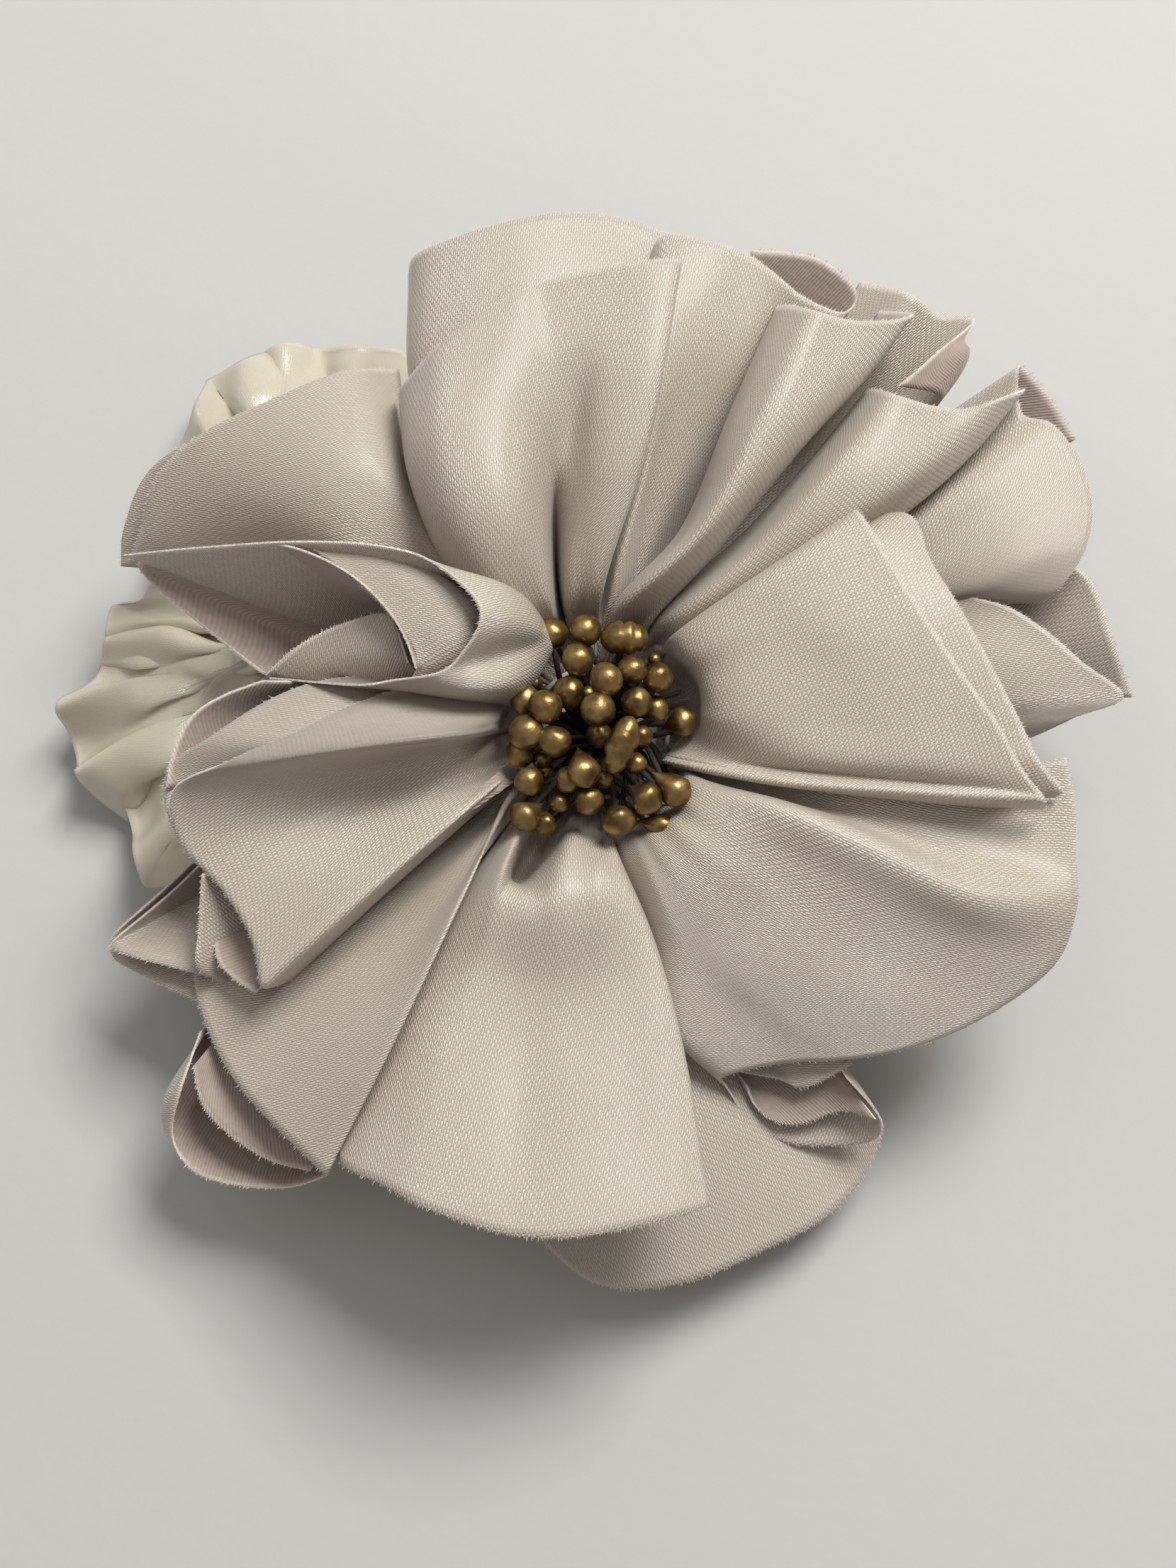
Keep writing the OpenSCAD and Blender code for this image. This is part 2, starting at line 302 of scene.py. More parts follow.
def brushed_steel(name, color, roughness, stretch):
    """Plated steel with fine scratches that run along the clip."""
    n = Nodes(name, color, roughness, Metallic=1.0)
    mapping = n.new("ShaderNodeMapping")
    n.put(mapping.inputs["Vector"], n.place())
    mapping.inputs["Scale"].default_value = stretch
    lines = n.noise(900, 4, mapping.outputs[0])
    smudge = n.noise(90, 3)
    n.color(n.mix(n.math("MULTIPLY", smudge, 0.35), color, tuple(0.62 * c for c in color)))
    n.rough(n.math("MULTIPLY_ADD", lines, 0.22, roughness - 0.1))
    n.bump(lines, 0.00002)
    return n.material


def fibrous(name, color, scale, depth):
    """Felt or buckram: a tangle of fibres, with painted light and shade that make them lighter where
    they stand up and darker between them.
    """
    n = Nodes(name, color, 0.9, Sheen_Weight=0.5, Sheen_Roughness=0.6, Specular_IOR_Level=0.2)
    tangle = n.noise(scale, 6, roughness=0.7)
    patches = n.noise(scale / 12, 3)
    # Painted light and shade: the fibres' colour follows the height of the bump.
    tone = n.ramp(tangle, (0.3, tuple(0.6 * c for c in color)), (0.65, color))
    n.color(n.mix(n.math("MULTIPLY", patches, 0.3), tone, tuple(0.8 * c for c in color)))
    n.bump(tangle, depth)
    return n.material


# Each satin's shaded copy, own colour and lit copy: the first and last carry painted shade and painted
# light.
BLUSH_SHADED = (0.345, 0.24, 0.185)
BLUSH = (0.598, 0.527, 0.437)
BLUSH_LIT = (0.725, 0.695, 0.615)
IVORY_SHADED = (0.44, 0.37, 0.25)
IVORY = (0.58, 0.52, 0.39)
IVORY_LIT = (0.78, 0.73, 0.61)
SOFT_LIGHT = (1.0, 0.9, 0.7)  # how far red, green and blue light spread below a surface
satin_face = satin("blush_satin_face", BLUSH_SHADED, BLUSH, BLUSH_LIT,
                   weave_size=(0.27, 0.8, 0.4), contrast=0.62, depth=0.00008, roughness=0.35,
                   Specular_IOR_Level=0.75, Anisotropic=0.4, Sheen_Weight=0.15,
                   Sheen_Roughness=0.35, Coat_Weight=0.35, Coat_Roughness=0.34)
satin_back = crepe("blush_satin_back", (0.34, 0.262, 0.222), (0.58, 0.482, 0.418), 0.7)
raw_edge = simple("blush_raw_edge", EDGE_PALE, 0.75, 0.00003, Sheen_Weight=0.3)
ivory_face = satin("ivory_satin_face", IVORY_SHADED, IVORY, IVORY_LIT,
                   weave_size=(0.16, 0.5, 0.4), contrast=0.25, depth=0.00002, roughness=0.2,
                   Specular_IOR_Level=0.8, Anisotropic=0.4, Coat_Weight=0.5,
                   Coat_Roughness=0.15, Subsurface_Weight=0.12, Subsurface_Scale=0.002,
                   Subsurface_Radius=SOFT_LIGHT)
ivory_edge = simple("ivory_sealed_edge", (0.90, 0.89, 0.83), 0.2, Coat_Weight=0.4)
gold = painted_gold()
# Near black: the thread's own dark colour, and painted shade for the dark heart between the heads.
stem_thread_and_heart_shade = simple("stamen_stem_thread", (0.035, 0.025, 0.018), 0.8, 0.00004, 1500)
thread = simple("gathering_thread_cotton", (0.62, 0.54, 0.49), 0.8, 0.00008, 2500)
brass = brushed_steel("binding_wire_brass", (0.52, 0.36, 0.17), 0.35, (1, 1, 8))
steel = brushed_steel("clip_nickel", (0.62, 0.61, 0.585), 0.3, (0.06, 1, 1))
pin_steel = brushed_steel("pin_nickel", (0.55, 0.545, 0.53), 0.25, (1, 0.06, 1))
wire_steel = brushed_steel("spring_wire_steel", (0.42, 0.415, 0.41), 0.32, (1, 1, 1))
felt = fibrous("felt_cream", (0.66, 0.60, 0.51), 1400, 0.00035)
buckram = fibrous("buckram_white", (0.72, 0.70, 0.65), 2200, 0.0002)
glue = simple("hot_glue", (0.78, 0.74, 0.62), 0.22, 0.0002, 300, Transmission_Weight=0.35,
              Subsurface_Weight=0.2, Subsurface_Scale=0.001, Subsurface_Radius=SOFT_LIGHT)

# ---- Petals ----

ROOT_REACH = 6.5  # of the gathered ring that the petals start from
THICK = 0.22
ROWS = 64  # points from root to rim
STEP = 0.75  # between points across the ribs
LAYER_GAP = 0.9  # between the two layers of a folded petal


def spread(points, count, creases=()):
    """A smooth curve through points, resampled to count places. It turns sharply at creases.

    The points may be whole curves: the curve then runs from one of them to the next."""
    points = np.asarray(points, float)
    flat = points.reshape(len(points), -1, 3)
    gaps = np.linalg.norm(np.diff(flat, axis=0), axis=2).mean(axis=1) ** 0.75
    knots = np.concatenate([[0], np.cumsum(gaps)])
    slopes = np.diff(points, axis=0) / gaps.reshape(-1, *[1] * (points.ndim - 1))
    into = np.concatenate([slopes[:1], slopes])
    out = np.concatenate([slopes, slopes[-1:]])
    for i in range(1, len(points) - 1):
        if i not in creases:
            w = gaps[i] / (gaps[i - 1] + gaps[i])
            into[i] = out[i] = w * slopes[i - 1] + (1 - w) * slopes[i]
    places = np.linspace(0, knots[-1], count)
    k = np.clip(np.searchsorted(knots, places, side="right") - 1, 0, len(gaps) - 1)
    shape = (-1, *[1] * (points.ndim - 1))
    h = gaps[k].reshape(shape)
    s = ((places - knots[k]) / gaps[k]).reshape(shape)
    s2, s3 = s * s, s * s * s
    return ((2 * s3 - 3 * s2 + 1) * points[k] + (s3 - 2 * s2 + s) * h * out[k]
            + (3 * s2 - 2 * s3) * points[k + 1] + (s3 - s2) * h * into[k + 1])


def evenly(curve, count):
    """The same curve, with its points evenly spaced."""
    lengths = np.concatenate([[0], np.cumsum(np.linalg.norm(np.diff(curve, axis=0), axis=1))])
    places = np.linspace(0, lengths[-1], count)
    return np.stack([np.interp(places, lengths, curve[:, i]) for i in range(3)], axis=1)


def grid_normals(grid):
    """The unit normal at each point of a grid."""
    across = np.gradient(grid, axis=0)
    out = np.gradient(grid, axis=1)
    normals = np.cross(across, out)
    return normals / np.maximum(np.linalg.norm(normals, axis=2, keepdims=True), 1e-9)


def loft(ribs, about=(0, 0), root_height=1.2, creases=(), root_reach=ROOT_REACH):
    """The grid of points of a petal, in millimetres: across its ribs, then out to its rim."""
    curves = []
    for rib in ribs:
        root = seen(rib[0], root_reach, PETAL_HEIGHT + root_height, about)
        neck = seen((2 * rib[0] + rib[1][0]) / 3, 1.45 * root_reach,
                    PETAL_HEIGHT + 1.8 * root_height, about)
        points = [root, neck] + [seen(*p, about) for p in rib[1:]]
        curves.append(evenly(spread(points, 4 * ROWS), ROWS))
    width = max(sum(np.linalg.norm(a[row] - b[row]) for a, b in zip(curves, curves[1:]))
                for row in (ROWS // 2, -1))
    return spread(curves, max(16, int(width / STEP)), creases)


def gathers(grid, seed, folds, depth, cockle=0.25, hold=1.0, crumple=0.0):
    """Folds that run out from the gathered root, and the slight cockling of the cloth.

    The folds run out farther with a small hold. Crumple adds finer dents."""
    normals = grid_normals(grid)
    count, rows = grid.shape[:2]
    t = np.linspace(0, 1, rows)[None, :]
    s = np.linspace(0, 1, count)[:, None]
    local = random.Random(seed)
    wave = np.zeros((count, rows))
    for k in range(4):
        turns = folds * local.uniform(0.6, 1.5)
        fade = np.exp(-t * hold * local.uniform(4, 8)) * np.minimum(1, t * 14)
        wave += fade * np.sin(2 * math.pi * (turns * s + 0.15 * np.sin(5 * t)) + local.uniform(0, 6.3))
    soft = np.array([[noise.noise(Vector(p * 0.07) + Vector((seed, 0, 0))) for p in row]
                     for row in grid[::3, ::3]])
    soft = np.repeat(np.repeat(soft, 3, axis=0), 3, axis=1)[:count, :rows]
    for axis in (0, 1):
        for _ in range(3):
            soft = (np.roll(soft, 1, axis) + 2 * soft + np.roll(soft, -1, axis)) / 4
    wide = np.linalg.norm(np.diff(grid, axis=0), axis=2).sum(axis=0)
    room = np.minimum(1, wide / (3 * folds))[None, :]
    move = depth * room * wave / 2 + cockle * soft * np.minimum(1, 3 * t)
    if crumple:
        fine = np.array([[noise.noise(Vector(p * 0.19) + Vector((0, seed, 0))) for p in row]
                         for row in grid])
        move += crumple * fine * np.minimum(1, 3 * t)
    return grid + normals * move[..., None]


def smooth(grid, passes=2):
    """Rounds the creases a little, and leaves the edges of the cloth where they are."""
    for _ in range(passes):
        inner = grid.copy()
        inner[1:-1] = (grid[:-2] + 2 * grid[1:-1] + grid[2:]) / 4
        grid = inner
    return grid


def cloth_object(name, grid, materials, slant):
    """A closed mesh with a face side, a back and a raw edge. Its UVs are in millimetres, and
    turned by the slant, so that the weave runs that way."""
    half = grid_normals(grid) * THICK / 2
    count, rows = grid.shape[:2]
    front = (grid + half).reshape(-1, 3)
    back = (grid - half).reshape(-1, 3)
    index = np.arange(count * rows).reshape(count, rows)
    a, b, c, d = index[:-1, :-1], index[1:, :-1], index[1:, 1:], index[:-1, 1:]
    faces = np.stack([a, b, c, d], axis=-1).reshape(-1, 4)
    under = faces[:, ::-1] + count * rows
    border = np.concatenate([index[:-1, 0], index[-1, :-1], index[:0:-1, -1], index[0, :0:-1]])
    after = np.roll(border, -1)
    total = count * rows
    sides = np.stack([after, border, border + total, after + total], axis=-1)
    quads = np.concatenate([faces, under, sides])
    piece = new_piece(name, np.concatenate([front, back]), quads.tolist(), *materials)
    mesh = piece.data
    centre = count // 2
    across = np.linalg.norm(np.diff(grid, axis=0), axis=2)
    u = np.concatenate([np.zeros((1, rows)), np.cumsum(across, axis=0)])
    u -= u[centre]
    along = np.linalg.norm(np.diff(grid, axis=1), axis=2)[centre]
    v = np.broadcast_to(np.concatenate([[0], np.cumsum(along)]), (count, rows))
    turn = math.radians(slant)
    uv = np.stack([u * math.cos(turn) - v * math.sin(turn),
                   u * math.sin(turn) + v * math.cos(turn)], axis=-1).reshape(-1, 2)
    layer = mesh.uv_layers.new(name="UVMap")
    layer.data.foreach_set("uv", np.concatenate([uv, uv])[quads.ravel()].ravel().astype(np.float32))
    steps_out = np.linalg.norm(np.diff(grid, axis=1), axis=2).mean(axis=0)
    from_root = np.concatenate([[0], np.cumsum(steps_out)])
    for attribute, distance in (("root_distance", from_root),
                                ("rim_distance", from_root[-1] - from_root)):
        values = mesh.attributes.new(attribute, "FLOAT", "POINT")
        values.data.foreach_set("value", np.tile(distance, 2 * count).astype(np.float32))
    kinds = np.repeat([0, 1, 2], [len(faces), len(under), len(sides)])
    mesh.polygons.foreach_set("material_index", kinds.astype(np.int32))
    mesh.polygons.foreach_set("use_smooth", kinds < 2)
    mesh.update()
    return piece


def fray(grid, spikes, chance=0.9, longest=0.42):
    """Adds the thread ends that stand out of a cut rim to the list of spikes, in millimetres."""
    rim, before = grid[:, -1], grid[:, -2]
    normals = grid_normals(grid)[:, -1]
    lengths = np.concatenate([[0], np.cumsum(np.linalg.norm(np.diff(rim, axis=0), axis=1))])
    place = 0.1
    while place < lengths[-1]:
        if rng.random() < chance:
            i = min(np.searchsorted(lengths, place), len(rim) - 1)
            j = max(i - 1, 0)
            w = (lengths[i] - place) / max(lengths[i] - lengths[j], 1e-6)
            foot = rim[i] * (1 - w) + rim[j] * w
            out = rim[i] - before[i]
            out /= max(np.linalg.norm(out), 1e-9)
            lean = np.array([rng.gauss(0, 0.35) for _ in range(3)])
            long = longest * rng.uniform(0.3, 0.9)
            spikes.append((foot - 0.15 * out, foot + long * (out + lean), normals[i]))
        place += rng.uniform(0.12, 0.28)


def fray_object(name, spikes, material, width=0.075):
    """All thread ends as one mesh of closed three-sided spikes."""
    verts, faces = [], []
    for foot, tip, normal in spikes:
        out = (tip - foot) / max(np.linalg.norm(tip - foot), 1e-9)
        side = np.cross(out, normal)
        side /= max(np.linalg.norm(side), 1e-9)
        k = len(verts)
        verts += [foot + width * side, foot - width * side, foot + width * normal, tip]
        faces += [(k, k + 1, k + 2), (k, k + 3, k + 1), (k + 1, k + 3, k + 2), (k + 2, k + 3, k)]
    return new_piece(name, verts, faces, material)


def above_clip(grid, top=12.4, half_long=40, half_wide=7, slope=0.8, lowest=0.4):
    """Lifts cloth that would sink into the clip, so that it drapes over the arms instead."""
    off_x = np.maximum(np.abs(grid[..., 0]) - half_long, 0)
    off_y = np.maximum(np.abs(grid[..., 1]) - half_wide, 0)
    floor = top - slope * np.hypot(off_x, off_y)
    lifted = grid.copy()
    lifted[..., 2] = np.maximum(grid[..., 2], np.maximum(floor, lowest))
    return lifted


def top_side(grid, share=0.5):
    """The grid, turned so that its normals point up there, at a share of the way across it."""
    middle = int(share * (len(grid) - 1))
    facing = grid_normals(grid)[max(middle - 2, 0):middle + 3, :, 2].mean()
    return grid if facing > 0 else grid[::-1]


blush_spikes = []
seeds = itertools.count(1)  # one for each petal's own folds and cockling


def add_layer(name, seed, node, ribs, slant, folds=3, pull=0.9, creases=(), face=None, flip=False,
              wrong_side_up=False, twin_satin=False, drop=0.0):
    """One layer of a petal, dropped below the place that its ribs give it."""
    share = 0.5 if face is None else face / (len(ribs) - 1)
    grid = loft(ribs, creases=creases)
    grid = grid[::-1] if flip else top_side(grid, share)
    if wrong_side_up:
        grid = grid[::-1]
    grid = smooth(gathers(grid, seed, folds, pull))
    grid = above_clip(grid - drop * grid_normals(grid))
    sides = (satin_face, satin_face if twin_satin else satin_back, raw_edge)
    piece = cloth_object(name + "_satin", grid, sides, slant)
    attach(piece, "flower")
    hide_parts(node)
    fray(grid, blush_spikes)


def add_petal(name, ribs, under=None, node=None, **look):
    """A petal, and the second layer of cloth below it if it has one.

    Its ribs go from one side to the other. The rest of what a petal can be given:
    under: the rim of the second layer, which shows past the first, with None where both rims
    lie together. node: the CAD node that it stands for, if it isn't the one with its name.
    slant: how far its weave is turned, in degrees. creases: which of its ribs are sharp folds.
    folds: how many folds its gathered root has. pull: how deep they are, in millimetres.
    face: the rib where its satin side has to face up. flip: its ribs run the other way round.
    wrong_side_up: its satin side faces down. twin_satin: both of its sides show satin."""
    seed = next(seeds)
    node = node or name
    add_layer(name, seed, node, ribs, **look)
    if under:
        lower = [rib[:-1] + (rim or rib[-1],) for rib, rim in zip(ribs, under)]
        add_layer(name + "_under", seed, node, lower, drop=LAYER_GAP, **look)


# The cupped petal at the top, and the layer behind it.
add_petal("petal_top_front", creases=(9,), slant=20, folds=5, ribs=[
    (129, (137, 17, 20), (134, 25, 24), (128, 34, 26), (121.5, 42.5, 26)),
    (127, (134, 16, 26), (131, 25, 31), (126.3, 35, 33), (119.8, 43.4, 31)),
    (122, (127, 16, 29), (124, 25, 35), (119, 36, 37), (113.5, 45.3, 35)),
    (116, (117, 15.5, 28), (112, 25, 35.5), (109, 37, 37), (106.8, 47.1, 36)),
    (113, (110.5, 15.3, 27), (104.5, 26, 31.5), (103, 36, 35.5), (101, 48.4, 36.5)),
    (111, (107.5, 15, 18), (103, 22, 23), (100, 29, 30), (97.5, 40, 35), (97.5, 49.2, 36)),
    (108, (104, 15, 26), (98, 24, 29.5), (94.5, 32, 31.5), (92, 42, 35.5), (92, 50.2, 36.5)),
    (103, (98, 15, 27), (92, 27, 33), (89, 39, 35.5), (87, 51, 37)),
    (99, (92, 15, 28), (84.5, 27, 34), (83, 39, 36.5), (82.5, 51.8, 37)),
    (97, (89, 15, 27), (80.5, 28, 33.5), (79.6, 38, 36), (79.6, 52.2, 36.5)),
    (98, (92, 15, 21), (84, 28, 26), (82.5, 39, 30), (83, 50, 32)),
])
add_petal("petal_top_back", slant=12, folds=4, ribs=[
    (121, (122, 30, 16), (119.5, 42, 18), (113, 54, 17)),
    (120, (121, 30, 20), (118, 43, 24), (111.5, 55.6, 24)),
    (112, (112, 30, 20), (110, 44, 27), (107, 56, 27)),
    (104, (103, 30, 20), (102, 45, 28), (101, 56.3, 28)),
    (98, (95, 30, 20), (95, 45, 27), (94, 56.6, 27)),
    (92, (88, 30, 19), (88, 45, 25), (87, 55.8, 25)),
    (88, (83, 30, 19), (82, 44, 22), (82, 54.6, 24)),
])

# Three narrow pleats at the upper right.
add_petal("petal_pleat_high", creases=(6,), slant=-4, folds=4, face=3, ribs=[
    (94, (91, 15, 18), (87, 30, 20.5), (85.5, 42, 24.2), (84.5, 50, 25)),
    (92, (84, 16, 22), (80, 30, 26), (81, 42, 29.5), (82, 54.6, 29)),
    (88, (79, 18, 20), (78, 30, 24.5), (77, 43, 28.5), (77, 54.6, 29)),
    (84, (75, 18, 19), (72, 30, 22.5), (72.5, 43, 26.5), (72.7, 54.4, 28)),
    (80, (72, 18, 17), (68, 30, 19.5), (68.2, 43, 25), (68.6, 53.3, 27)),
    (78, (69, 18, 15.5), (64, 30, 17), (64.5, 42, 21), (64.3, 52.2, 25)),
    (77, (67, 18, 15), (61, 30, 15), (60.5, 42, 18), (59, 52.6, 23)),
    (77, (68, 18, 14), (62, 30, 13.5), (60, 43, 17), (59.2, 55.6, 24)),
    (79, (70, 18, 14), (65, 30, 13.5), (63.5, 45, 19), (63.8, 56.8, 26)),
    (82, (73, 18, 14), (69, 30, 14), (67.7, 46, 20), (67.8, 56.2, 26)),
    (85, (77, 18, 15), (73, 30, 15), (72, 46, 21), (72.3, 54.9, 26)),
])
add_petal("petal_pleat_middle", slant=-14, ribs=[
    (88, (84, 13, 20), (68, 23, 22), (67.5, 37, 25), (67, 50, 26)),
    (86, (80, 13, 24), (65.8, 23, 29), (65.4, 37, 32), (65.2, 50.8, 32)),
    (82, (76, 14, 27), (62.5, 24, 33), (61.5, 38, 36), (62, 51.5, 36)),
    (78, (71, 14, 26), (59.5, 24, 32), (57.5, 38, 35), (58.6, 52.3, 34)),
    (74, (66, 14, 24), (57, 23, 29), (54.5, 37, 32), (54.7, 54.6, 32)),
    (70, (66, 13, 22), (56.5, 23, 25), (54, 38, 28.5), (52.3, 52, 30), (52.5, 57, 31)),
    (71, (66, 13, 17), (60, 22, 20), (56, 36, 22), (56, 55, 23)),
])
add_petal("petal_pleat_low", creases=(6,), slant=-24, ribs=[
    (68, (63, 14, 18), (53, 27, 21), (51.5, 38, 23), (51.5, 47, 24)),
    (66, (60, 14, 23), (50.8, 27, 27), (49.6, 38.5, 30), (50.3, 48, 30)),
    (62, (56, 14, 25), (48, 27, 31), (47, 39, 34), (47.8, 49, 34)),
    (58, (52, 14, 25), (45, 27, 31), (43, 40, 34), (44, 50.7, 33)),
    (54, (49, 14, 24), (42, 27, 30), (39, 41, 33), (41, 53, 32)),
    (50, (46, 14, 23), (39, 27, 28), (36.7, 41, 30), (37.5, 50, 31), (39.2, 57, 32)),
    (48, (44, 14, 21), (37.3, 27, 26), (34.6, 41, 27.8), (35.9, 51, 29), (38.1, 60, 30)),
    (47, (43, 14, 17), (39, 27, 19), (37, 42, 18), (40, 56, 20)),
])

# The petal behind the pleats, the rounded one at the right, and the low one at the far right.
add_petal("petal_upper_right_back", slant=10, ribs=[
    (64, (60, 30, 15), (60, 45, 18), (59.5, 56.5, 20)),
    (61, (57, 30, 16), (56.5, 45, 20), (57, 57.5, 22)),
    (57, (54, 30, 16), (53.5, 46, 22), (54, 58.6, 25)),
    (53, (51, 30, 15), (50, 46, 20), (50.5, 58.6, 23)),
    (50, (48, 30, 14), (47, 46, 18), (47.2, 61, 24)),
    (48, (46, 30, 13), (44, 46, 19), (45.3, 58, 26), (47.8, 56, 29)),
    (47, (45, 30, 12), (43.5, 45, 18), (44.2, 52, 27), (48.6, 49.8, 30)),
])
add_petal("petal_right_back", creases=(3,), slant=-35, folds=4, face=7, ribs=[
    (34, (31, 22, 13), (31, 36, 15), (31, 50, 18), (31, 61.2, 20)),
    (38, (35, 22, 13.5), (35, 36, 16), (35, 50, 20), (35, 61.3, 23)),
    (42, (39, 21, 14), (39.5, 35, 17), (39, 50, 22), (38.5, 61.2, 26)),
    (44, (41, 20, 16), (42, 35, 19), (42.5, 48, 23), (40.9, 61, 28)),
    (42, (38, 20, 18), (37.8, 35, 21), (38, 47, 24), (36.5, 57.8, 26)),
    (38, (33, 22, 20), (33, 36, 24), (33, 49, 26.5), (33.5, 60, 26.5)),
    (33, (28, 22, 20), (28, 36, 24), (28, 49, 26.5), (28.5, 60.4, 26.5)),
    (29, (24, 22, 19), (24, 36, 24), (23.5, 48, 26.8), (23.5, 59.2, 27)),
    (26, (21, 22, 17), (21, 35, 22.5), (20, 46, 26.3), (19.5, 56.6, 27)),
    (24, (20, 22, 15), (20, 34, 19.5), (18.5, 43, 23.5), (16, 51.8, 25.5)),
    (24, (20, 22, 12), (19, 34, 13), (18, 42, 14), (16.5, 48, 14)),
])
add_petal("petal_right_low", creases=(7,), slant=15, face=3, twin_satin=True, ribs=[
    (-4, (-6, 26, 13), (-5, 38, 17), (-1.5, 47.6, 20)),
    (0, (-1, 26, 15), (0, 40, 20.5), (1, 52.4, 23)),
    (3, (2, 26, 17), (3, 42, 23), (3.2, 58, 24)),
    (7, (6, 26, 18), (6, 40, 23.5), (7, 54, 25)),
    (11, (10, 26, 18), (10, 38, 23.5), (11.5, 50.6, 25.3)),
    (15, (14, 26, 17.5), (14.5, 36, 22.5), (16, 47, 25)),
    (19, (18, 26, 16), (19, 34, 21), (20.5, 42.2, 24)),
    (21, (21, 26, 14), (22, 36, 18), (23, 45, 21)),
    (19, (19, 28, 13), (19, 42, 17), (17.6, 55.9, 22.5)),
    (13, (12, 28, 12), (12, 42, 16), (10, 57.2, 20.5)),
    (6, (4, 28, 11), (4, 42, 13), (3, 58.7, 16)),
])

# The big folded petal at the right front. Its second layer shows past its rim.
add_petal("petal_right_front", creases=(7,), slant=-42, folds=2, pull=0.25, face=4, ribs=[
    (52, (50, 13, 22), (44.5, 21, 26), (41.5, 29, 28), (40.5, 36, 29)),
    (50, (49.7, 13.4, 28), (43.5, 21, 32), (40.3, 29, 34), (38.8, 37, 34.5)),
    (42, (42, 10.5, 20), (40, 12.6, 29), (34, 24, 33.5), (31, 36.9, 35)),
    (30, (30, 10.8, 19), (28, 12.8, 29), (24, 25, 33.5), (21, 37.5, 35)),
    (18, (18, 11, 19), (16, 12.6, 29), (12.5, 27, 33), (10.5, 39.6, 34.5)),
    (5, (4, 10.5, 19), (2, 12.2, 28), (0.5, 28, 32), (0, 44, 33.5)),
    (-12, (-14, 8.5, 21), (-11, 20, 29), (-8, 36, 31.5), (-6.3, 47, 32)),
    (-24, (-27, 8, 22), (-13.5, 21, 27.5), (-9.7, 39, 29.8), (-8.9, 49.4, 31)),
    (-26, (-30, 8, 22), (-18, 20, 29.3), (-13, 32, 30.6), (-9.6, 49.8, 31)),
    (-27, (-31, 8, 20), (-18.5, 21, 26), (-13, 38, 27.5), (-10.5, 50, 29)),
], under=[None, (34.5, 41.9, 32), (27, 41, 33.5), (19, 41.9, 34), (8.5, 44, 33.5),
          (-0.5, 47, 32.5), (-5.3, 49.2, 31.5), (-8.6, 52, 29.5), (-9.4, 51.5, 28.5),
          (-10, 51, 27.5)])

# The big petal at the lower right, and the sheets of its curled rim.
add_petal("petal_lower_right", slant=-8, folds=6, face=5, ribs=[
    (-12, (-14, 14, 23), (-9, 28, 26.5), (-7, 42, 27), (-4, 51.5, 27.5)),
    (-16, (-19, 14, 22), (-15, 28, 25.7), (-12, 42, 26), (-9, 53, 27)),
    (-21, (-26, 13, 23), (-20.5, 28, 26.2), (-19, 42, 26), (-15.5, 54.5, 26.5)),
    (-27, (-34, 12.1, 27), (-25.5, 20, 31), (-24.5, 32, 31), (-24.5, 46, 29), (-21, 56.3, 26)),
    (-36, (-41, 14, 28), (-34, 28, 28.5), (-31, 43, 26), (-27, 56.8, 23.5)),
    (-46, (-50, 15, 28), (-43, 29, 26.5), (-38, 43, 23.5), (-34, 54.5, 21)),
    (-56, (-60, 15, 27), (-53, 29, 25), (-47, 42, 22), (-43, 50.8, 19.5)),
    (-66, (-68, 15, 26), (-62, 28, 24), (-57, 38, 21), (-52, 46.5, 18.5)),
    (-76, (-73, 15, 25), (-69, 27, 23), (-65, 35, 20), (-61.5, 42.3, 17)),
    (-92, (-83, 13, 22), (-76.3, 25, 21), (-76, 35.3, 18.5), (-70.8, 41, 15.5)),
    (-90, (-82, 13, 17), (-75.5, 25, 17), (-75, 35, 14.5), (-70.4, 42.2, 12.5)),
])
add_petal("petal_lower_right_curl", node="petal_lower_right", slant=40, ribs=[
    (-92, (-84, 13, 17), (-77, 25, 18.5), (-75.5, 35, 17), (-71.5, 40.5, 15.5)),
    (-90, (-82, 14, 15), (-76, 25, 15), (-74, 35, 13.5), (-70.4, 43.2, 13)),
    (-88, (-80, 14, 14), (-72, 28, 12), (-70.5, 38, 11), (-69.3, 46.7, 10.5)),
    (-82, (-76, 16, 12), (-68, 30, 11), (-66, 42, 10), (-66, 50.3, 9.5)),
    (-74, (-70, 18, 11), (-62, 30, 11), (-61, 44, 10), (-61.2, 52.9, 9.5)),
    (-66, (-64, 18, 11), (-57, 30, 11), (-56, 44, 11), (-56.3, 54.9, 11)),
    (-62, (-60, 18, 12), (-56, 30, 12), (-54.5, 44, 13), (-54.6, 53.8, 13.5)),
    (-58, (-59, 18, 12), (-56, 30, 13), (-55, 42, 15), (-55, 47.5, 16)),
])
add_petal("petal_lower_right_lining", node="petal_lower_right", wrong_side_up=True, slant=20,
          folds=2, ribs=[
    (-90, (-78, 28, 13), (-70, 38, 12.5), (-67.8, 43, 13)),
    (-84, (-74, 28, 12), (-69, 38, 11.8), (-67.9, 45.4, 12)),
    (-78, (-70, 30, 11.5), (-67, 40, 11.3), (-65.9, 48.1, 11.5)),
    (-72, (-66, 30, 11.5), (-63.5, 42, 11.5), (-63, 49.3, 11.5)),
    (-66, (-60, 30, 12), (-58, 43, 12.5), (-57.9, 50.1, 12.7)),
    (-62, (-57, 30, 13), (-55.7, 44, 14), (-55, 53, 14.5)),
])
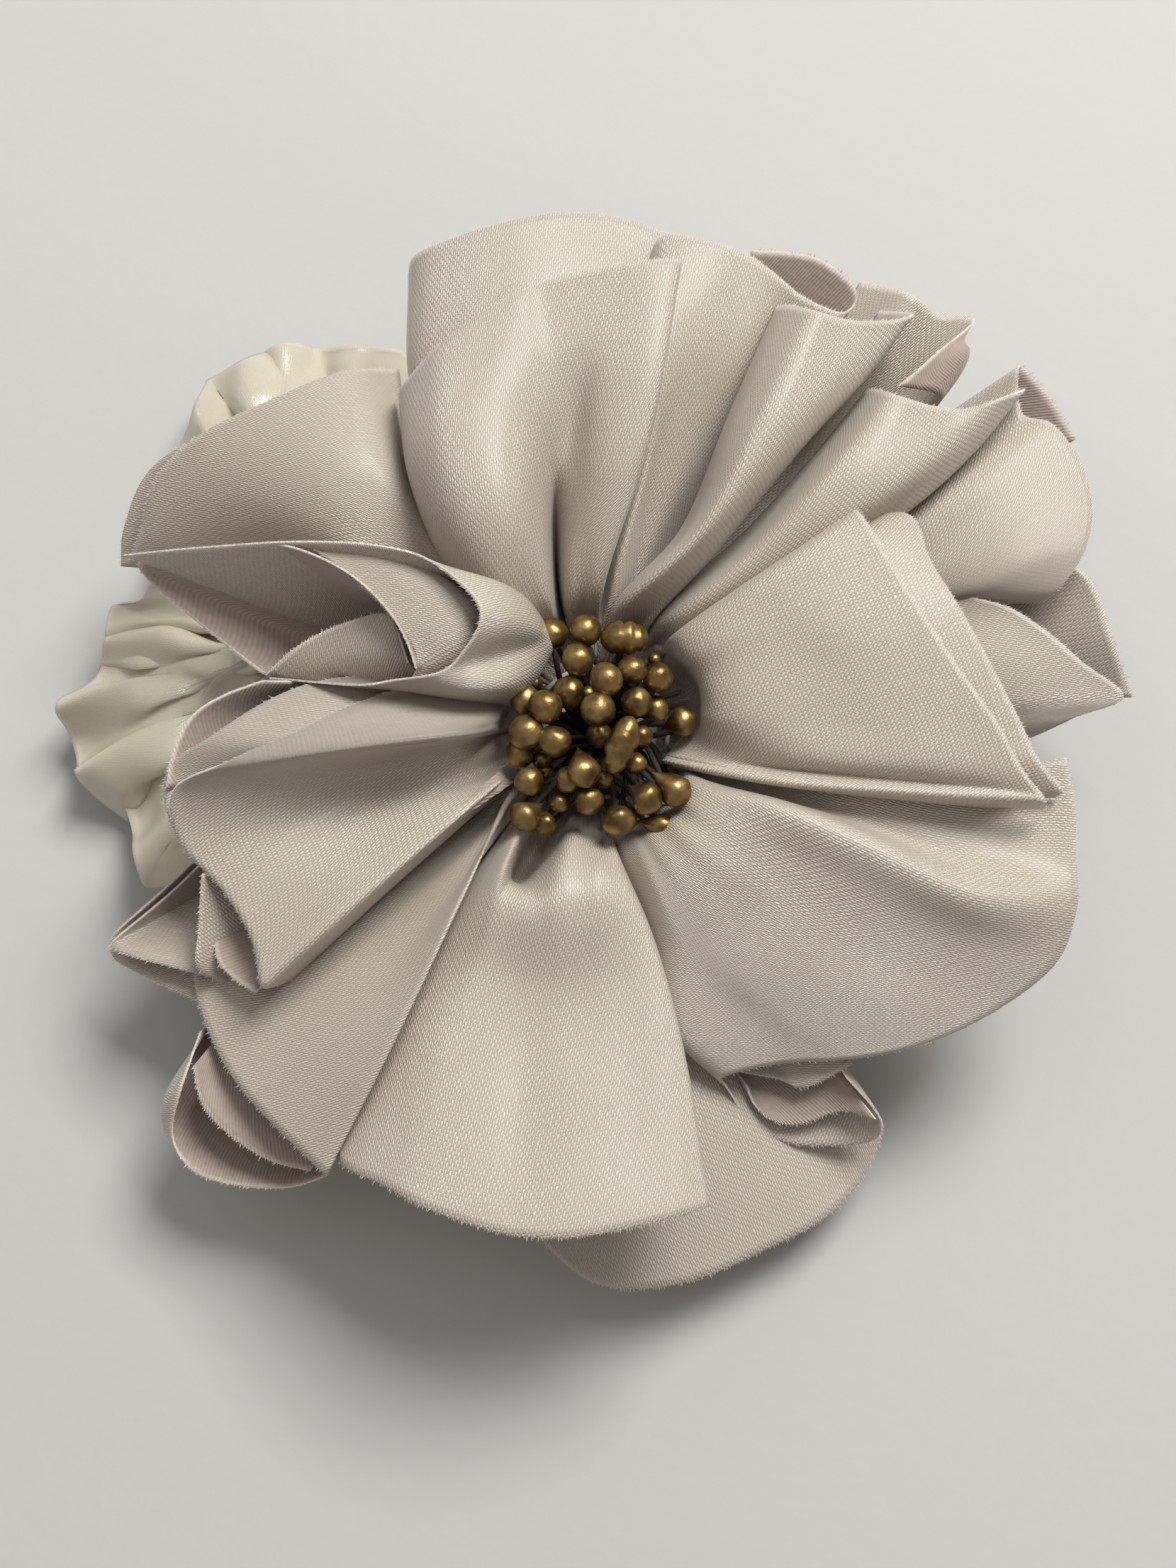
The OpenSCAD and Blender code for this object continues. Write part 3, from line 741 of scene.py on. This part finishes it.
add_petal("petal_lower_right_roll", node="petal_lower_right", slant=-60, folds=2, ribs=[
    (-84, (-78, 25, 15.5), (-72, 36, 15), (-68, 41.2, 14.7)),
    (-80, (-74, 26, 15), (-69, 36, 14.8), (-65.6, 42.4, 14.4)),
    (-76, (-70, 27, 15), (-66, 37, 14.6), (-63.3, 43.6, 14.2)),
    (-72, (-66, 28, 15), (-63, 38, 14.8), (-61.5, 45.5, 14)),
    (-68, (-63, 30, 15), (-60.5, 40, 15), (-59.9, 46.1, 14.5)),
    (-62, (-58, 30, 15.5), (-54, 40, 16), (-53.3, 46.6, 16)),
])

# The petal at the bottom.
add_petal("petal_bottom_front", slant=8, folds=5, ribs=[
    (224, (229, 19, 18), (233, 36, 18), (237, 52, 17)),
    (228, (230, 19, 23), (235, 36, 22), (239, 56, 22)),
    (234, (234, 14, 25), (236.5, 19, 27.5), (241, 30, 25), (243.5, 42, 25.5), (245, 56, 26)),
    (239, (238, 13, 18.5), (238.5, 18.3, 18), (240.5, 21, 27), (244.5, 30, 25.5), (249, 56.5, 27.5)),
    (245, (244, 13, 17.5), (244.5, 18.2, 17.5), (247, 20.8, 27.5), (250.5, 30, 25.5), (255, 56.8, 28)),
    (252, (251, 13, 21), (252, 16, 27), (254, 20, 28.5), (256.5, 30, 25.5), (261, 57, 28)),
    (259, (259, 13.5, 26), (261, 18.5, 28.5), (263.5, 30, 25.5), (265, 42, 26.5), (266.5, 56.6, 28)),
    (266, (271, 17, 28), (273, 28, 25.5), (274, 42, 26), (274.5, 55.4, 27)),
    (268, (277, 14.5, 25), (283.5, 24, 24.5), (284, 40, 24.5), (282.5, 54.5, 25)),
    (270, (276, 14.5, 20), (281, 24, 19), (281.5, 40, 19), (280, 53, 20)),
])

# The long petal at the lower left, and the flap along its side.
add_petal("petal_lower_left", creases=(4,), slant=25, ribs=[
    (210, (212, 20, 16), (211, 36, 16), (208, 51, 15.5)),
    (213, (217, 20, 18), (217, 37, 19), (214, 53.5, 17)),
    (216, (222, 20, 20.5), (223, 38, 21.5), (220, 55.3, 18)),
    (219, (228, 20, 23.5), (229.5, 38, 24.5), (227, 56.5, 20)),
    (221, (216, 11, 22), (232, 25, 27.5), (236.8, 39, 27.5), (239, 58.2, 22.5)),
    (222, (218, 12, 18), (231, 25, 21), (234.5, 39, 21), (236.5, 55, 17.5)),
])
add_petal("petal_lower_left_flap", node="petal_lower_left", wrong_side_up=True, slant=40,
          folds=2, ribs=[
    (216, (217, 30, 13.5), (218, 48, 14), (220, 58.5, 17)),
    (220, (221, 30, 13.5), (222, 48, 14), (223.5, 60.6, 16.5)),
    (225, (226, 30, 14), (227, 48, 14.5), (228, 60.9, 16.5)),
    (230, (231, 30, 14.5), (232, 48, 15), (233, 60.2, 16.5)),
    (234, (235, 30, 15), (236, 48, 16), (237, 58.6, 17.5)),
])

# The petal at the left, the small tip next to it, and their turned folds.
add_petal("petal_left", creases=(8,), slant=-30, folds=4, ribs=[
    (163, (165, 11, 25.5), (167, 17, 27.5), (169, 22, 29)),
    (170, (172, 12, 27), (173, 20, 28.5), (175, 27, 29.5)),
    (176, (179, 13, 30), (180.5, 24, 32), (181, 33, 32)),
    (182, (184, 14, 31), (185, 26, 34), (185.5, 41, 33.5)),
    (187, (188.5, 15, 25), (189.5, 25, 26), (190, 35, 28.5), (189.5, 48, 30)),
    (193, (196, 16, 24), (197, 26, 24), (197, 36, 25.5), (196, 48, 27)),
    (198, (202, 18, 24.5), (203.5, 32, 25.5), (203, 45.5, 25)),
    (202, (207, 18, 26), (210.5, 32, 27), (211.5, 45, 25)),
    (205, (209.5, 12, 26), (215.5, 26, 28.5), (217, 38, 28), (218, 47.4, 26)),
    (207, (212, 12, 20), (217.5, 26, 22), (219.5, 44, 20)),
], under=[(166, 23, 28.5), (170, 31, 28.5), (175, 37, 29.5), (181, 43, 30.5), (188, 48.8, 28.2),
          None, None, None, None, None])
add_petal("petal_left_tip", creases=(2,), slant=12, folds=2, face=2, ribs=[
    (197, (198, 25, 12.5), (198, 38, 14), (198.5, 45.5, 19)),
    (199, (200, 28, 12.5), (200, 42, 15), (201, 50, 18)),
    (202, (203, 30, 12), (203, 45, 14), (204.2, 59.7, 16)),
    (205, (206.5, 30, 13), (206.5, 45, 16), (207.5, 56.2, 18)),
    (208, (210, 30, 14), (210, 43, 17), (210.8, 52.9, 18.5)),
    (211, (212, 30, 14), (212, 42, 16), (213.5, 50.5, 18)),
], under=[None, None, (204.6, 59.9, 15), (208, 57.8, 16), (212, 55.2, 16.5),
          (215, 53.5, 16.5)])
add_petal("petal_left_tip_fold", node="petal_left_tip", slant=50, folds=2, ribs=[
    (197, (198, 30, 17), (199, 40, 21), (200.6, 46.8, 25.5)),
    (200, (201, 30, 17), (202, 40, 21), (203.5, 48, 24)),
    (204, (205, 30, 17), (205.5, 40, 20.5), (207, 49.6, 22.5)),
    (208, (209, 30, 17), (209.5, 42, 19.5), (211, 51.8, 21)),
    (212, (213, 30, 15), (214, 42, 16), (215, 50, 17)),
])
add_petal("petal_left_corner_fold", node="petal_left", wrong_side_up=True, slant=-20, folds=2, ribs=[
    (202, (203, 30, 17), (204, 40, 18), (205, 46, 20)),
    (207, (208, 30, 18), (209, 40, 19), (211, 49.4, 21.5)),
    (211, (212, 30, 18), (213, 40, 19.5), (214.3, 49.2, 21.5)),
    (215, (216, 30, 19), (216.5, 40, 20.5), (217.8, 48, 23)),
])

# The rolled cone at the left: its outside, lip, lining and turned band. The hollow below it is
# part of the left petal.
add_petal("petal_left_cone", creases=(7,), flip=True, slant=0, folds=2, pull=0.3, twin_satin=True, ribs=[
    (154, (157, 18, 19), (161, 35, 20), (160.4, 55.7, 24)),
    (151, (155, 18, 20), (159, 32, 22), (155.3, 47, 30)),
    (148, (152, 18, 21), (153, 30, 26), (149.2, 39.5, 34.5)),
    (142, (146, 16, 23), (146, 24, 30), (140.4, 31, 37)),
    (132, (132, 15, 24), (127, 18, 31), (129, 21, 35.5), (135.4, 24.8, 37.5)),
    (120, (119.5, 13, 25), (121, 16, 32), (127, 17.8, 36), (135.5, 18.8, 37.5)),
    (118, (119, 11.6, 26), (124, 12.8, 32), (133, 14.8, 35.5), (142, 17.1, 37)),
    (118, (121, 10.4, 27.5), (134, 12, 30.5), (147, 14.3, 32.5), (157.5, 17.4, 34.5)),
    (135, (147, 8.8, 27), (157, 10.8, 31), (163, 14, 33), (163.3, 19.3, 34)),
    (150, (166, 9.5, 23), (168.5, 12.5, 27.5), (169.3, 17, 30), (168, 23.5, 32)),
    (160, (167, 12, 21), (170, 18, 25), (170.5, 26.8, 31)),
    (162, (169, 13, 20), (172, 24, 22.5), (171.9, 36.8, 26)),
])
add_petal("petal_left_cone_lip", node="petal_left_cone", slant=25, folds=2, pull=0.3, ribs=[
    (160, (164, 14, 22), (166, 20, 28.5), (162, 22.3, 31.5)),
    (162, (166, 14, 22), (168, 22, 27.5), (161, 24, 31), (152.5, 26.2, 32)),
    (163, (168, 15, 21), (170, 25, 26.5), (164, 27, 30), (155.9, 28.9, 31)),
    (164, (169, 15, 21), (171, 28, 26), (167, 30, 28.3), (160.8, 31.9, 29.5)),
    (165, (170, 16, 20), (172, 32, 25), (170, 34, 26.5), (167.4, 35.4, 27.7)),
    (166, (171, 16, 20), (172.5, 33, 24), (171.6, 37.2, 26.2)),
])
add_petal("petal_left_cone_lining", node="petal_left_cone", flip=True, slant=60, ribs=[
    (166, (169, 16, 19), (172, 27, 20), (171.2, 37.6, 24)),
    (163, (166, 17, 19), (169, 30, 20), (168.5, 41.3, 22)),
    (160, (163, 18, 19), (166, 34, 19.5), (164.7, 47.4, 21)),
    (157, (160, 18, 19), (163, 36, 19.5), (160.8, 54, 22.5)),
    (153, (157, 18, 19.5), (160, 33, 20.5), (158.5, 50, 26)),
    (148, (153, 18, 19), (156, 30, 22), (154.4, 44.8, 29)),
    (143, (149, 17, 20), (152, 27, 26), (150.2, 39.4, 34.3)),
    (138, (145, 15, 20), (150, 23, 28), (149, 31, 35.8)),
    (136, (142, 14, 20), (150, 20, 27.5), (152, 26, 35.8)),
    (138, (144, 14, 20), (156, 19, 27), (157, 23, 34.8)),
    (142, (149, 14, 20), (157, 18, 28), (163, 21.2, 34)),
])
add_petal("petal_left_cone_turn", node="petal_left_cone", slant=20, folds=2, pull=0.2, ribs=[
    (146, (144, 20, 28), (141.5, 29, 34.5), (148.5, 37.5, 34)),
    (143, (138, 17, 28), (137, 24, 35), (142, 28, 35.5), (149, 32, 35)),
    (143, (136, 14, 28), (137, 18.5, 34.5), (143, 22, 35.3), (152, 26.5, 35)),
    (148, (144, 14, 28), (146, 16.8, 34), (151, 19, 34.5), (157, 22.5, 34)),
    (154, (154, 14, 28), (157, 16.5, 32), (163, 21, 33)),
    (160, (162, 14, 27), (165, 18, 30), (169, 22, 31)),
])
add_petal("petal_left_hollow", node="petal_left", wrong_side_up=True, slant=-50, ribs=[
    (160, (164, 17, 21), (170, 27, 24), (172.5, 37.5, 28.5)),
    (166, (170, 18, 20), (174, 31, 23), (175.8, 42, 29)),
    (173, (177, 20, 20), (179, 34, 22), (179.4, 45.5, 29)),
    (180, (183, 22, 20), (185, 36, 22), (185, 47.6, 28.5)),
    (186, (188, 24, 20), (189, 37, 23), (188.3, 48.3, 28)),
])

# The petal at the upper left.
add_petal("petal_upper_left", slant=-15, folds=5, ribs=[
    (150, (152, 20, 17), (157, 38, 14), (161, 55, 17)),
    (146, (149, 21, 22), (152, 38, 21), (156.5, 55, 21)),
    (142, (145, 22, 25), (147, 38, 26), (150.5, 56, 25)),
    (138, (140, 23, 24), (141, 38, 29), (143.5, 54.3, 28)),
    (134, (136, 23, 24), (134, 38, 30), (135.5, 51, 29)),
    (130, (133, 23, 24), (129, 37, 29), (127, 48.5, 28)),
    (127, (131, 22, 20), (125, 36, 24), (119.5, 45, 24)),
], under=[(162, 55.6, 16), (157.5, 57, 19.5), (151, 57.4, 23.5), None, None, None, None])

# The layer behind the bottom petal, and the hollow curl at the lower left.
add_petal("petal_bottom_back", slant=-10, folds=5, ribs=[
    (-101, (-99, 30, 13), (-99, 45, 11), (-98, 56, 9)),
    (-94, (-93, 30, 13), (-92, 46, 12), (-91, 61.3, 9)),
    (-86, (-86, 30, 14), (-86, 46, 13), (-85, 62.3, 9)),
    (-79, (-79, 30, 14), (-79, 46, 13), (-79, 61.8, 9)),
    (-72, (-72, 30, 14), (-72, 45, 12), (-72, 60.5, 8)),
    (-66, (-66, 30, 13), (-66, 45, 10), (-66, 59.8, 7)),
    (-60, (-60, 30, 12), (-60, 44, 8), (-60, 57.8, 6)),
    (-55, (-55, 30, 12), (-55, 42, 7.5), (-55.5, 55, 7)),
])
add_petal("petal_lower_left_curl", wrong_side_up=True, slant=14, folds=4, ribs=[
    (213, (215, 30, 13), (216.5, 48, 14), (217.5, 55.5, 16.5)),
    (216, (218, 30, 12.5), (218.5, 48, 13), (219.8, 59, 13), (220.9, 64, 14.5), (221.5, 62, 17)),
    (221, (222, 30, 12), (222, 48, 11.5), (222.5, 60, 10.5), (223, 65.8, 12), (223.6, 65.2, 14)),
    (226, (227, 30, 12), (227.3, 48, 11), (227.6, 60, 10), (227.6, 66.6, 12.5)),
    (230, (231, 30, 12), (231.5, 47, 11.5), (231.5, 59, 10.5), (231.4, 64.8, 13)),
    (234, (235, 30, 13), (236, 47, 12.5), (236.3, 56, 12), (236.5, 61, 14)),
    (236, (237, 30, 13), (238, 47, 13), (238.8, 58, 15.5)),
])

edges = fray_object("blush_frayed_edges", blush_spikes, raw_edge)
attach(edges, "flower")

# ---- Ivory flower ----

# The ivory flower's ruffled petals: each rib is (angle, reach, height of the rim), about its own
# middle.
IVORY_PETALS = {
    "ivory_petal_1": [(70, 31, 3), (78, 31.5, 4), (86, 32, 9), (94, 31.5, 4), (101, 32, 7),
                      (107, 31.5, 3)],
    "ivory_petal_2": [(96, 31, 3), (103, 32, 5), (110, 32.4, 10), (117, 31.7, 5), (123, 30, 10),
                      (130, 27, 6), (138, 25, 3), (146, 24, 3)],
    "ivory_petal_3": [(140, 24, 3), (150, 23, 5), (159, 21.3, 9), (166, 21.5, 12), (172, 25, 7),
                      (178, 26.2, 9), (186, 26, 4)],
    "ivory_petal_4": [(172, 24, 3), (180, 26, 8), (187, 27, 5), (193, 32.3, 10), (200, 32.1, 5),
                      (206, 33, 9), (213, 32.5, 4), (221, 31.5, 3)],
    "ivory_petal_5": [(212, 29, 3), (219, 31, 5), (225, 32.5, 9), (232, 34.6, 6), (238, 32, 8),
                      (246, 29, 3), (254, 28, 3)],
}
IVORY_ABOUT = (-28.6, 9.6)  # its middle as the camera sees it, from the blush flower's axis
IVORY_ROOT = 4.5
IVORY_SLANT = 30
IVORY_SEED = 40
RIB_LEAN = 2.5


def ruffled_ribs(rims):
    """Whole ribs for the places along a rim, which lean to one side and the other in turn."""
    ribs = []
    for k, (angle, reach, height) in enumerate(rims):
        lean = RIB_LEAN if k % 2 else -RIB_LEAN
        low = (angle + lean, 0.45 * reach, 13.5 + lean / 3)
        high = (angle - lean, 0.78 * reach, 10 + 0.5 * (height - 6))
        ribs.append((angle, low, high, (angle, reach, height)))
    return ribs


def add_ivory_petal(name, seed, rims):
    """A crumpled petal with a sealed edge."""
    grid = loft(ruffled_ribs(rims), about=IVORY_ABOUT, root_reach=IVORY_ROOT, root_height=0.8)
    grid = gathers(top_side(grid), seed, folds=3, depth=2.8, cockle=2.6, hold=0.3, crumple=0.9)
    grid = above_clip(smooth(grid, passes=4))
    piece = cloth_object(name + "_ruffle", grid, (ivory_face, ivory_face, ivory_edge), IVORY_SLANT)
    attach(piece, "flower")
    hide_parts(name)


for seed, (name, rims) in enumerate(IVORY_PETALS.items(), IVORY_SEED):
    add_ivory_petal(name, seed, rims)

# ---- Stamens ----

# Each head: right of and above the flower's axis as the camera sees it, height, radius, length,
# the way its tip points as the camera sees it, and how flat it lies (0 stands up, 1 lies down).
HEADS = [
    (-5.3, 10.0, 26.5, 1.6, 3.2, 120, 0.3), (-1.6, 10.4, 28.5, 1.6, 3.3, 100, 0.3),
    (-2.4, 7.2, 29, 1.6, 3.4, 110, 0.2), (0.7, 5.0, 31, 1.65, 3.4, 80, 0.2),
    (3.6, 6.0, 29.5, 1.45, 3.2, 60, 0.3), (6.4, 5.2, 28.5, 1.45, 3.6, 75, 0.5),
    (-3.4, 3.6, 28, 1.6, 3.2, 140, 0.3), (-8.2, 2.8, 26.5, 1.5, 3.2, 170, 0.4),
    (-6.0, 2.0, 30, 1.65, 3.4, 160, 0.2), (4.0, 2.5, 29, 1.5, 3.2, 40, 0.3),
    (6.2, 1.8, 26.5, 1.3, 2.8, 20, 0.4), (-0.2, 1.7, 30.5, 1.7, 3.5, 0, 0.1),
    (-8.1, -0.8, 29, 1.7, 3.4, 190, 0.3), (-4.9, -1.7, 29.5, 1.6, 3.4, 200, 0.2),
    (-8.8, -3.1, 27, 1.4, 3.0, 200, 0.3), (-6.3, -3.8, 26.5, 0.95, 2.2, 220, 0.3),
    (4.6, -1.2, 28, 1.1, 2.4, 350, 0.3), (4.0, -4.2, 28, 1.0, 2.6, 330, 0.4),
    (-0.1, -1.1, 25.5, 1.3, 2.8, 270, 0.2), (-3.5, -6.0, 28, 1.3, 3.0, 250, 0.4),
    (0.5, -6.0, 27, 0.85, 2.0, 280, 0.3), (-7.8, -6.2, 28, 1.4, 3.1, 230, 0.3),
    (-5.9, -5.1, 26, 0.7, 1.6, 240, 0.3), (-4.4, -8.5, 26.5, 1.0, 2.4, 250, 0.4),
    (6.0, 7.2, 26, 0.7, 1.6, 60, 0.3), (-1.3, 3.4, 26, 0.8, 1.8, 90, 0.3),
    (-7.2, 4.6, 25, 0.8, 1.8, 150, 0.3),
]
DROPS = [
    (-1.9, -4.6, 30, 1.65, 5.0, 285, 0.9), (-7.9, -9.8, 26.5, 1.6, 4.4, 215, 0.9),
    (-6.0, -10.6, 25.5, 1.2, 3.4, 255, 0.8), (-1.3, -8.2, 27, 1.45, 3.6, 300, 0.6),
    (2.0, -10.2, 26.5, 1.7, 4.2, 300, 0.8), (4.9, -7.9, 27.5, 1.6, 4.4, 325, 0.9),
    (7.8, -6.8, 27.5, 1.6, 5.2, 322, 1.0), (8.7, 0.3, 24.5, 1.5, 4.4, 20, 0.9),
    (6.4, -11.0, 25, 1.15, 5.0, 350, 1.0), (9.5, -10.3, 23.5, 1.1, 2.8, 320, 0.7),
]
# Pairs of heads that have dried together, each pair as one long head with a waist.
TWINS = [(2.4, -2.2, 30.5, 1.5, 6.4, 250, 1.0), (2.7, 9.6, 29, 1.8, 5.2, 0, 1.0)]
STEM_RADIUS = 0.32
FOOT_SPREAD = 0.27  # how far out a stem stands at its foot, as a share of its head's reach
WAIST_SPREAD = 0.36


def spot(right, up, height):
    """The point at a height that the camera sees this far right of and above the axis."""
    return seen(math.degrees(math.atan2(up, right)), math.hypot(right, up), height)


def head_shape(kind, t):
    """Radius along a head, from its stem (0) to its tip (1), as a share of its widest."""
    if kind == "twin":
        return math.sin(math.pi * t) ** 0.45 * (1 - 0.16 * math.cos(4 * math.pi * (t - 0.25)) ** 2
                                                * (0.25 < t < 0.75))
    if kind == "drop":
        return math.sin(math.pi * t ** 1.5) ** 0.8
    return math.sqrt(max(0, 1 - (2 * t - 1) ** 2)) * (0.94 + 0.08 * t)


def ring_faces(rings, sides):
    """The faces between rings of vertices that lie one after another."""
    faces = []
    for first in range(0, (rings - 1) * sides, sides):
        for s in range(sides):
            i, j = first + s, first + (s + 1) % sides
            faces.append((i, j, j + sides, i + sides))
    return faces


def head_form(kind, number, head, rings=19, sides=28):
    """A paint blob as a closed lathed form, lumpy in its own way. Every third has a dimple."""
    right, up, height, radius, length, angle, flat = head
    a = math.radians(angle)
    across = math.cos(a) * RIGHT + math.sin(a) * UP
    axis = flat * across + math.sqrt(max(1 - flat * flat, 0)) * BACK
    side = np.cross(axis, BACK if flat > 0.5 else RIGHT)
    side /= np.linalg.norm(side)
    other = np.cross(axis, side)
    centre = spot(right, up, height)
    seed = Vector((number * 7.3, len(kind) * 3.1, 0))
    dent = side * math.cos(number * 2.4) + other * math.sin(number * 2.4)
    dent_depth = 0.35 if number % 3 == 1 else 0
    verts = []
    for ring in range(rings):
        t = 0.5 - 0.5 * math.cos(math.pi * ring / (rings - 1))
        for s in range(sides):
            b = 2 * math.pi * s / sides
            out = math.cos(b) * side + math.sin(b) * other
            lump = 1 + 0.10 * noise.noise(seed + Vector(out * 0.9 + axis * 2.2 * t))
            lump += 0.03 * noise.noise(seed + Vector(out * 3 + axis * 6 * t))
            push = max(0, float(out @ dent) - 0.6) * math.sin(math.pi * t)
            size = 1.12 * radius * head_shape(kind, t) * (lump - dent_depth * push)
            if kind == "twin":
                size *= 1 + 0.03 * math.sin(14 * t + 3 * b)
            verts.append(centre + axis * (t - 0.5) * length + out * size)
    return verts, ring_faces(rings, sides)


def joined(parts):
    """The vertices and faces of several parts, as one mesh's."""
    verts, faces = [], []
    for more_verts, more_faces in parts:
        start = len(verts)
        verts += more_verts
        faces += [tuple(start + i for i in face) for face in more_faces]
    return verts, faces


def add_heads(name, node, **kinds):
    """All heads of some kinds, as one painted piece."""
    parts = [head_form(kind, number, head) for kind, heads in kinds.items()
             for number, head in enumerate(heads)]
    add_solid(name, *joined(parts), gold, node, "stamen_gold")


def add_solid(name, verts, faces, material, node, slot):
    """A smooth piece on the flower, with the doubled points at its poles merged."""
    piece = new_piece(name, verts, faces, material)
    mesh = piece.data
    work = bmesh.new()
    work.from_mesh(mesh)
    bmesh.ops.remove_doubles(work, verts=work.verts, dist=1e-7)
    bmesh.ops.dissolve_degenerate(work, edges=work.edges, dist=1e-7)
    bmesh.ops.recalc_face_normals(work, faces=work.faces)
    work.to_mesh(mesh)
    work.free()
    mesh.shade_smooth()
    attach(piece, "flower")
    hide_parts(node)


def tube(path, radius, sides=8):
    """Vertices and faces of a closed tube along a path."""
    path = np.asarray(path, float)
    tangents = np.gradient(path, axis=0)
    tangents /= np.linalg.norm(tangents, axis=1, keepdims=True)
    normal = np.cross(tangents[0], (0.31, 0.52, 0.8))
    verts = []
    for point, tangent in zip(path, tangents):
        normal = normal - tangent * (normal @ tangent)
        normal /= np.linalg.norm(normal)
        binormal = np.cross(tangent, normal)
        for s in range(sides):
            a = 2 * math.pi * s / sides
            verts.append(point + radius * (math.cos(a) * normal + math.sin(a) * binormal))
    start = tuple(range(sides))[::-1]
    end = tuple(range((len(path) - 1) * sides, len(path) * sides))
    return verts, [*ring_faces(len(path), sides), start, end]


def stem_path(head, lean):
    """A stem from the bundle's foot to a head, which leans to one side on its way."""
    right, up, height, radius = head[:4]
    end = spot(right, up, height - 0.5 * radius)
    foot = np.array([AXIS[0], AXIS[1], PETAL_HEIGHT + 0.3])
    foot[:2] += FOOT_SPREAD * (end[:2] - AXIS)
    waist = np.array([*(AXIS + WAIST_SPREAD * (end[:2] - AXIS)), PETAL_HEIGHT + 5])
    aside = lean * np.array([foot[1] - AXIS[1], AXIS[0] - foot[0], 0])
    return spread([foot + aside, waist + 1.5 * aside, end - np.array([0, 0, 6 * abs(lean)])], 14)


add_heads("stamen_round_heads", "stamen_heads_round", round=HEADS, twin=TWINS)
add_heads("stamen_drop_heads", "stamen_heads_drop", drop=DROPS)
# Three near-black stems to each head: real threads, and also painted shade that fills the heart between
# the heads.
stems = joined(tube(stem_path(head, lean), STEM_RADIUS) for head in HEADS + DROPS + TWINS
               for lean in (-0.5, 0, 0.5))
add_solid("stamen_stem_bundle", *stems, stem_thread_and_heart_shade, "stamen_stems", "stamen_stem")

# ---- Base, clip and spring ----


def dress(node, material, bevel=0.0):
    """A CAD node as it is, with its look and softened edges."""
    piece = frame["nodes"][node]
    piece.data.materials.clear()
    piece.data.materials.append(material)
    if bevel:
        edge = piece.modifiers.new("soft_edge", "BEVEL")
        edge.width = bevel * MM
        edge.segments = 3
        edge.limit_method = "ANGLE"
        edge.angle_limit = math.radians(35)
        edge.harden_normals = True


# The torsion spring: one leg under the upper lever, the coil, and one leg on the lower lever.
HINGE = np.array(frame["record"]["behaviour"]["joints"][0]["pos_m"]) / MM
COIL_REACH = 1.65
WIRE = 0.8
TURNS = 5
LEG_END = -27.0
coil_wide = TURNS * WIRE * 1.04
upper_leg = np.array([LEG_END, -coil_wide / 2, 10.74])
lower_leg = np.array([LEG_END, coil_wide / 2, 3.05])


def spring_path():
    """The wire's middle line, from the end of one leg round the coil to the end of the other."""
    turns = np.linspace(0, 1, 24 * TURNS + 12)
    angle = math.pi / 2 - 2 * math.pi * (TURNS + 0.5) * turns
    coil = HINGE + np.stack([COIL_REACH * np.cos(angle), (turns - 0.5) * coil_wide,
                             COIL_REACH * np.sin(angle)], axis=1)
    shares = np.linspace(0, 1, 14)[:-1, None]
    return np.concatenate([upper_leg + shares * (coil[0] - upper_leg), coil,
                           (coil[-1] + shares * (lower_leg - coil[-1]))[1:], [lower_leg]])


def add_spring():
    """The spring, in the place of the CAD one."""
    piece = new_piece("spring_wire", *tube(spring_path(), WIRE / 2, 12), wire_steel)
    piece.data.shade_smooth()
    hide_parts("spring")
    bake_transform(piece)


add_spring()
dress("upper_arm", steel, 0.12)
dress("lower_arm", steel, 0.12)
dress("hinge_pin", pin_steel, 0.15)
dress("glue_layer", glue, 0.15)
dress("felt_base", felt, 0.45)
dress("blush_board", buckram, 0.3)
dress("ivory_board", buckram, 0.3)
dress("binding_wire", brass)
dress("gathering_thread", thread)

# ---- Stage ----


def add_stage():
    """A wide sheet of matte paper under the clip."""
    n = Nodes("floor_paper", (0.56, 0.555, 0.54), 0.9)
    n.bump(n.noise(400, 2), 0.00005)
    half = 3000
    corners = [(-half, -half, 0), (half, -half, 0), (half, half, 0), (-half, half, 0)]
    new_piece("floor", corners, [(0, 1, 2, 3)], n.material)


def add_light(name, place, size, power, color):
    """A square soft light that points at the flower. Its place and size are in metres."""
    data = bpy.data.lights.new(name, "AREA")
    data.size = size
    data.energy = power
    data.color = color
    light = bpy.data.objects.new(name, data)
    bpy.context.scene.collection.objects.link(light)
    light.location = Vector(place)
    light.rotation_euler = (Vector((0, 0, 0.02)) - light.location).to_track_quat("-Z", "Y").to_euler()


def add_world(color, strength):
    """Even light from all around."""
    world = bpy.data.worlds.new("studio")
    world.use_nodes = True
    sky = world.node_tree.nodes["Background"]
    sky.inputs["Color"].default_value = (*color, 1)
    sky.inputs["Strength"].default_value = strength
    bpy.context.scene.world = world


add_stage()
add_light("window", (0.26, 0.38, 0.68), size=0.36, power=6.9, color=(0.995, 1.0, 0.98))
add_light("fill", (-0.4, 0.3, 0.8), size=0.8, power=0.8, color=(0.97, 0.98, 1.0))
add_world((1.0, 0.97, 0.93), 0.30)
bpy.context.scene.view_settings.view_transform = "Standard"
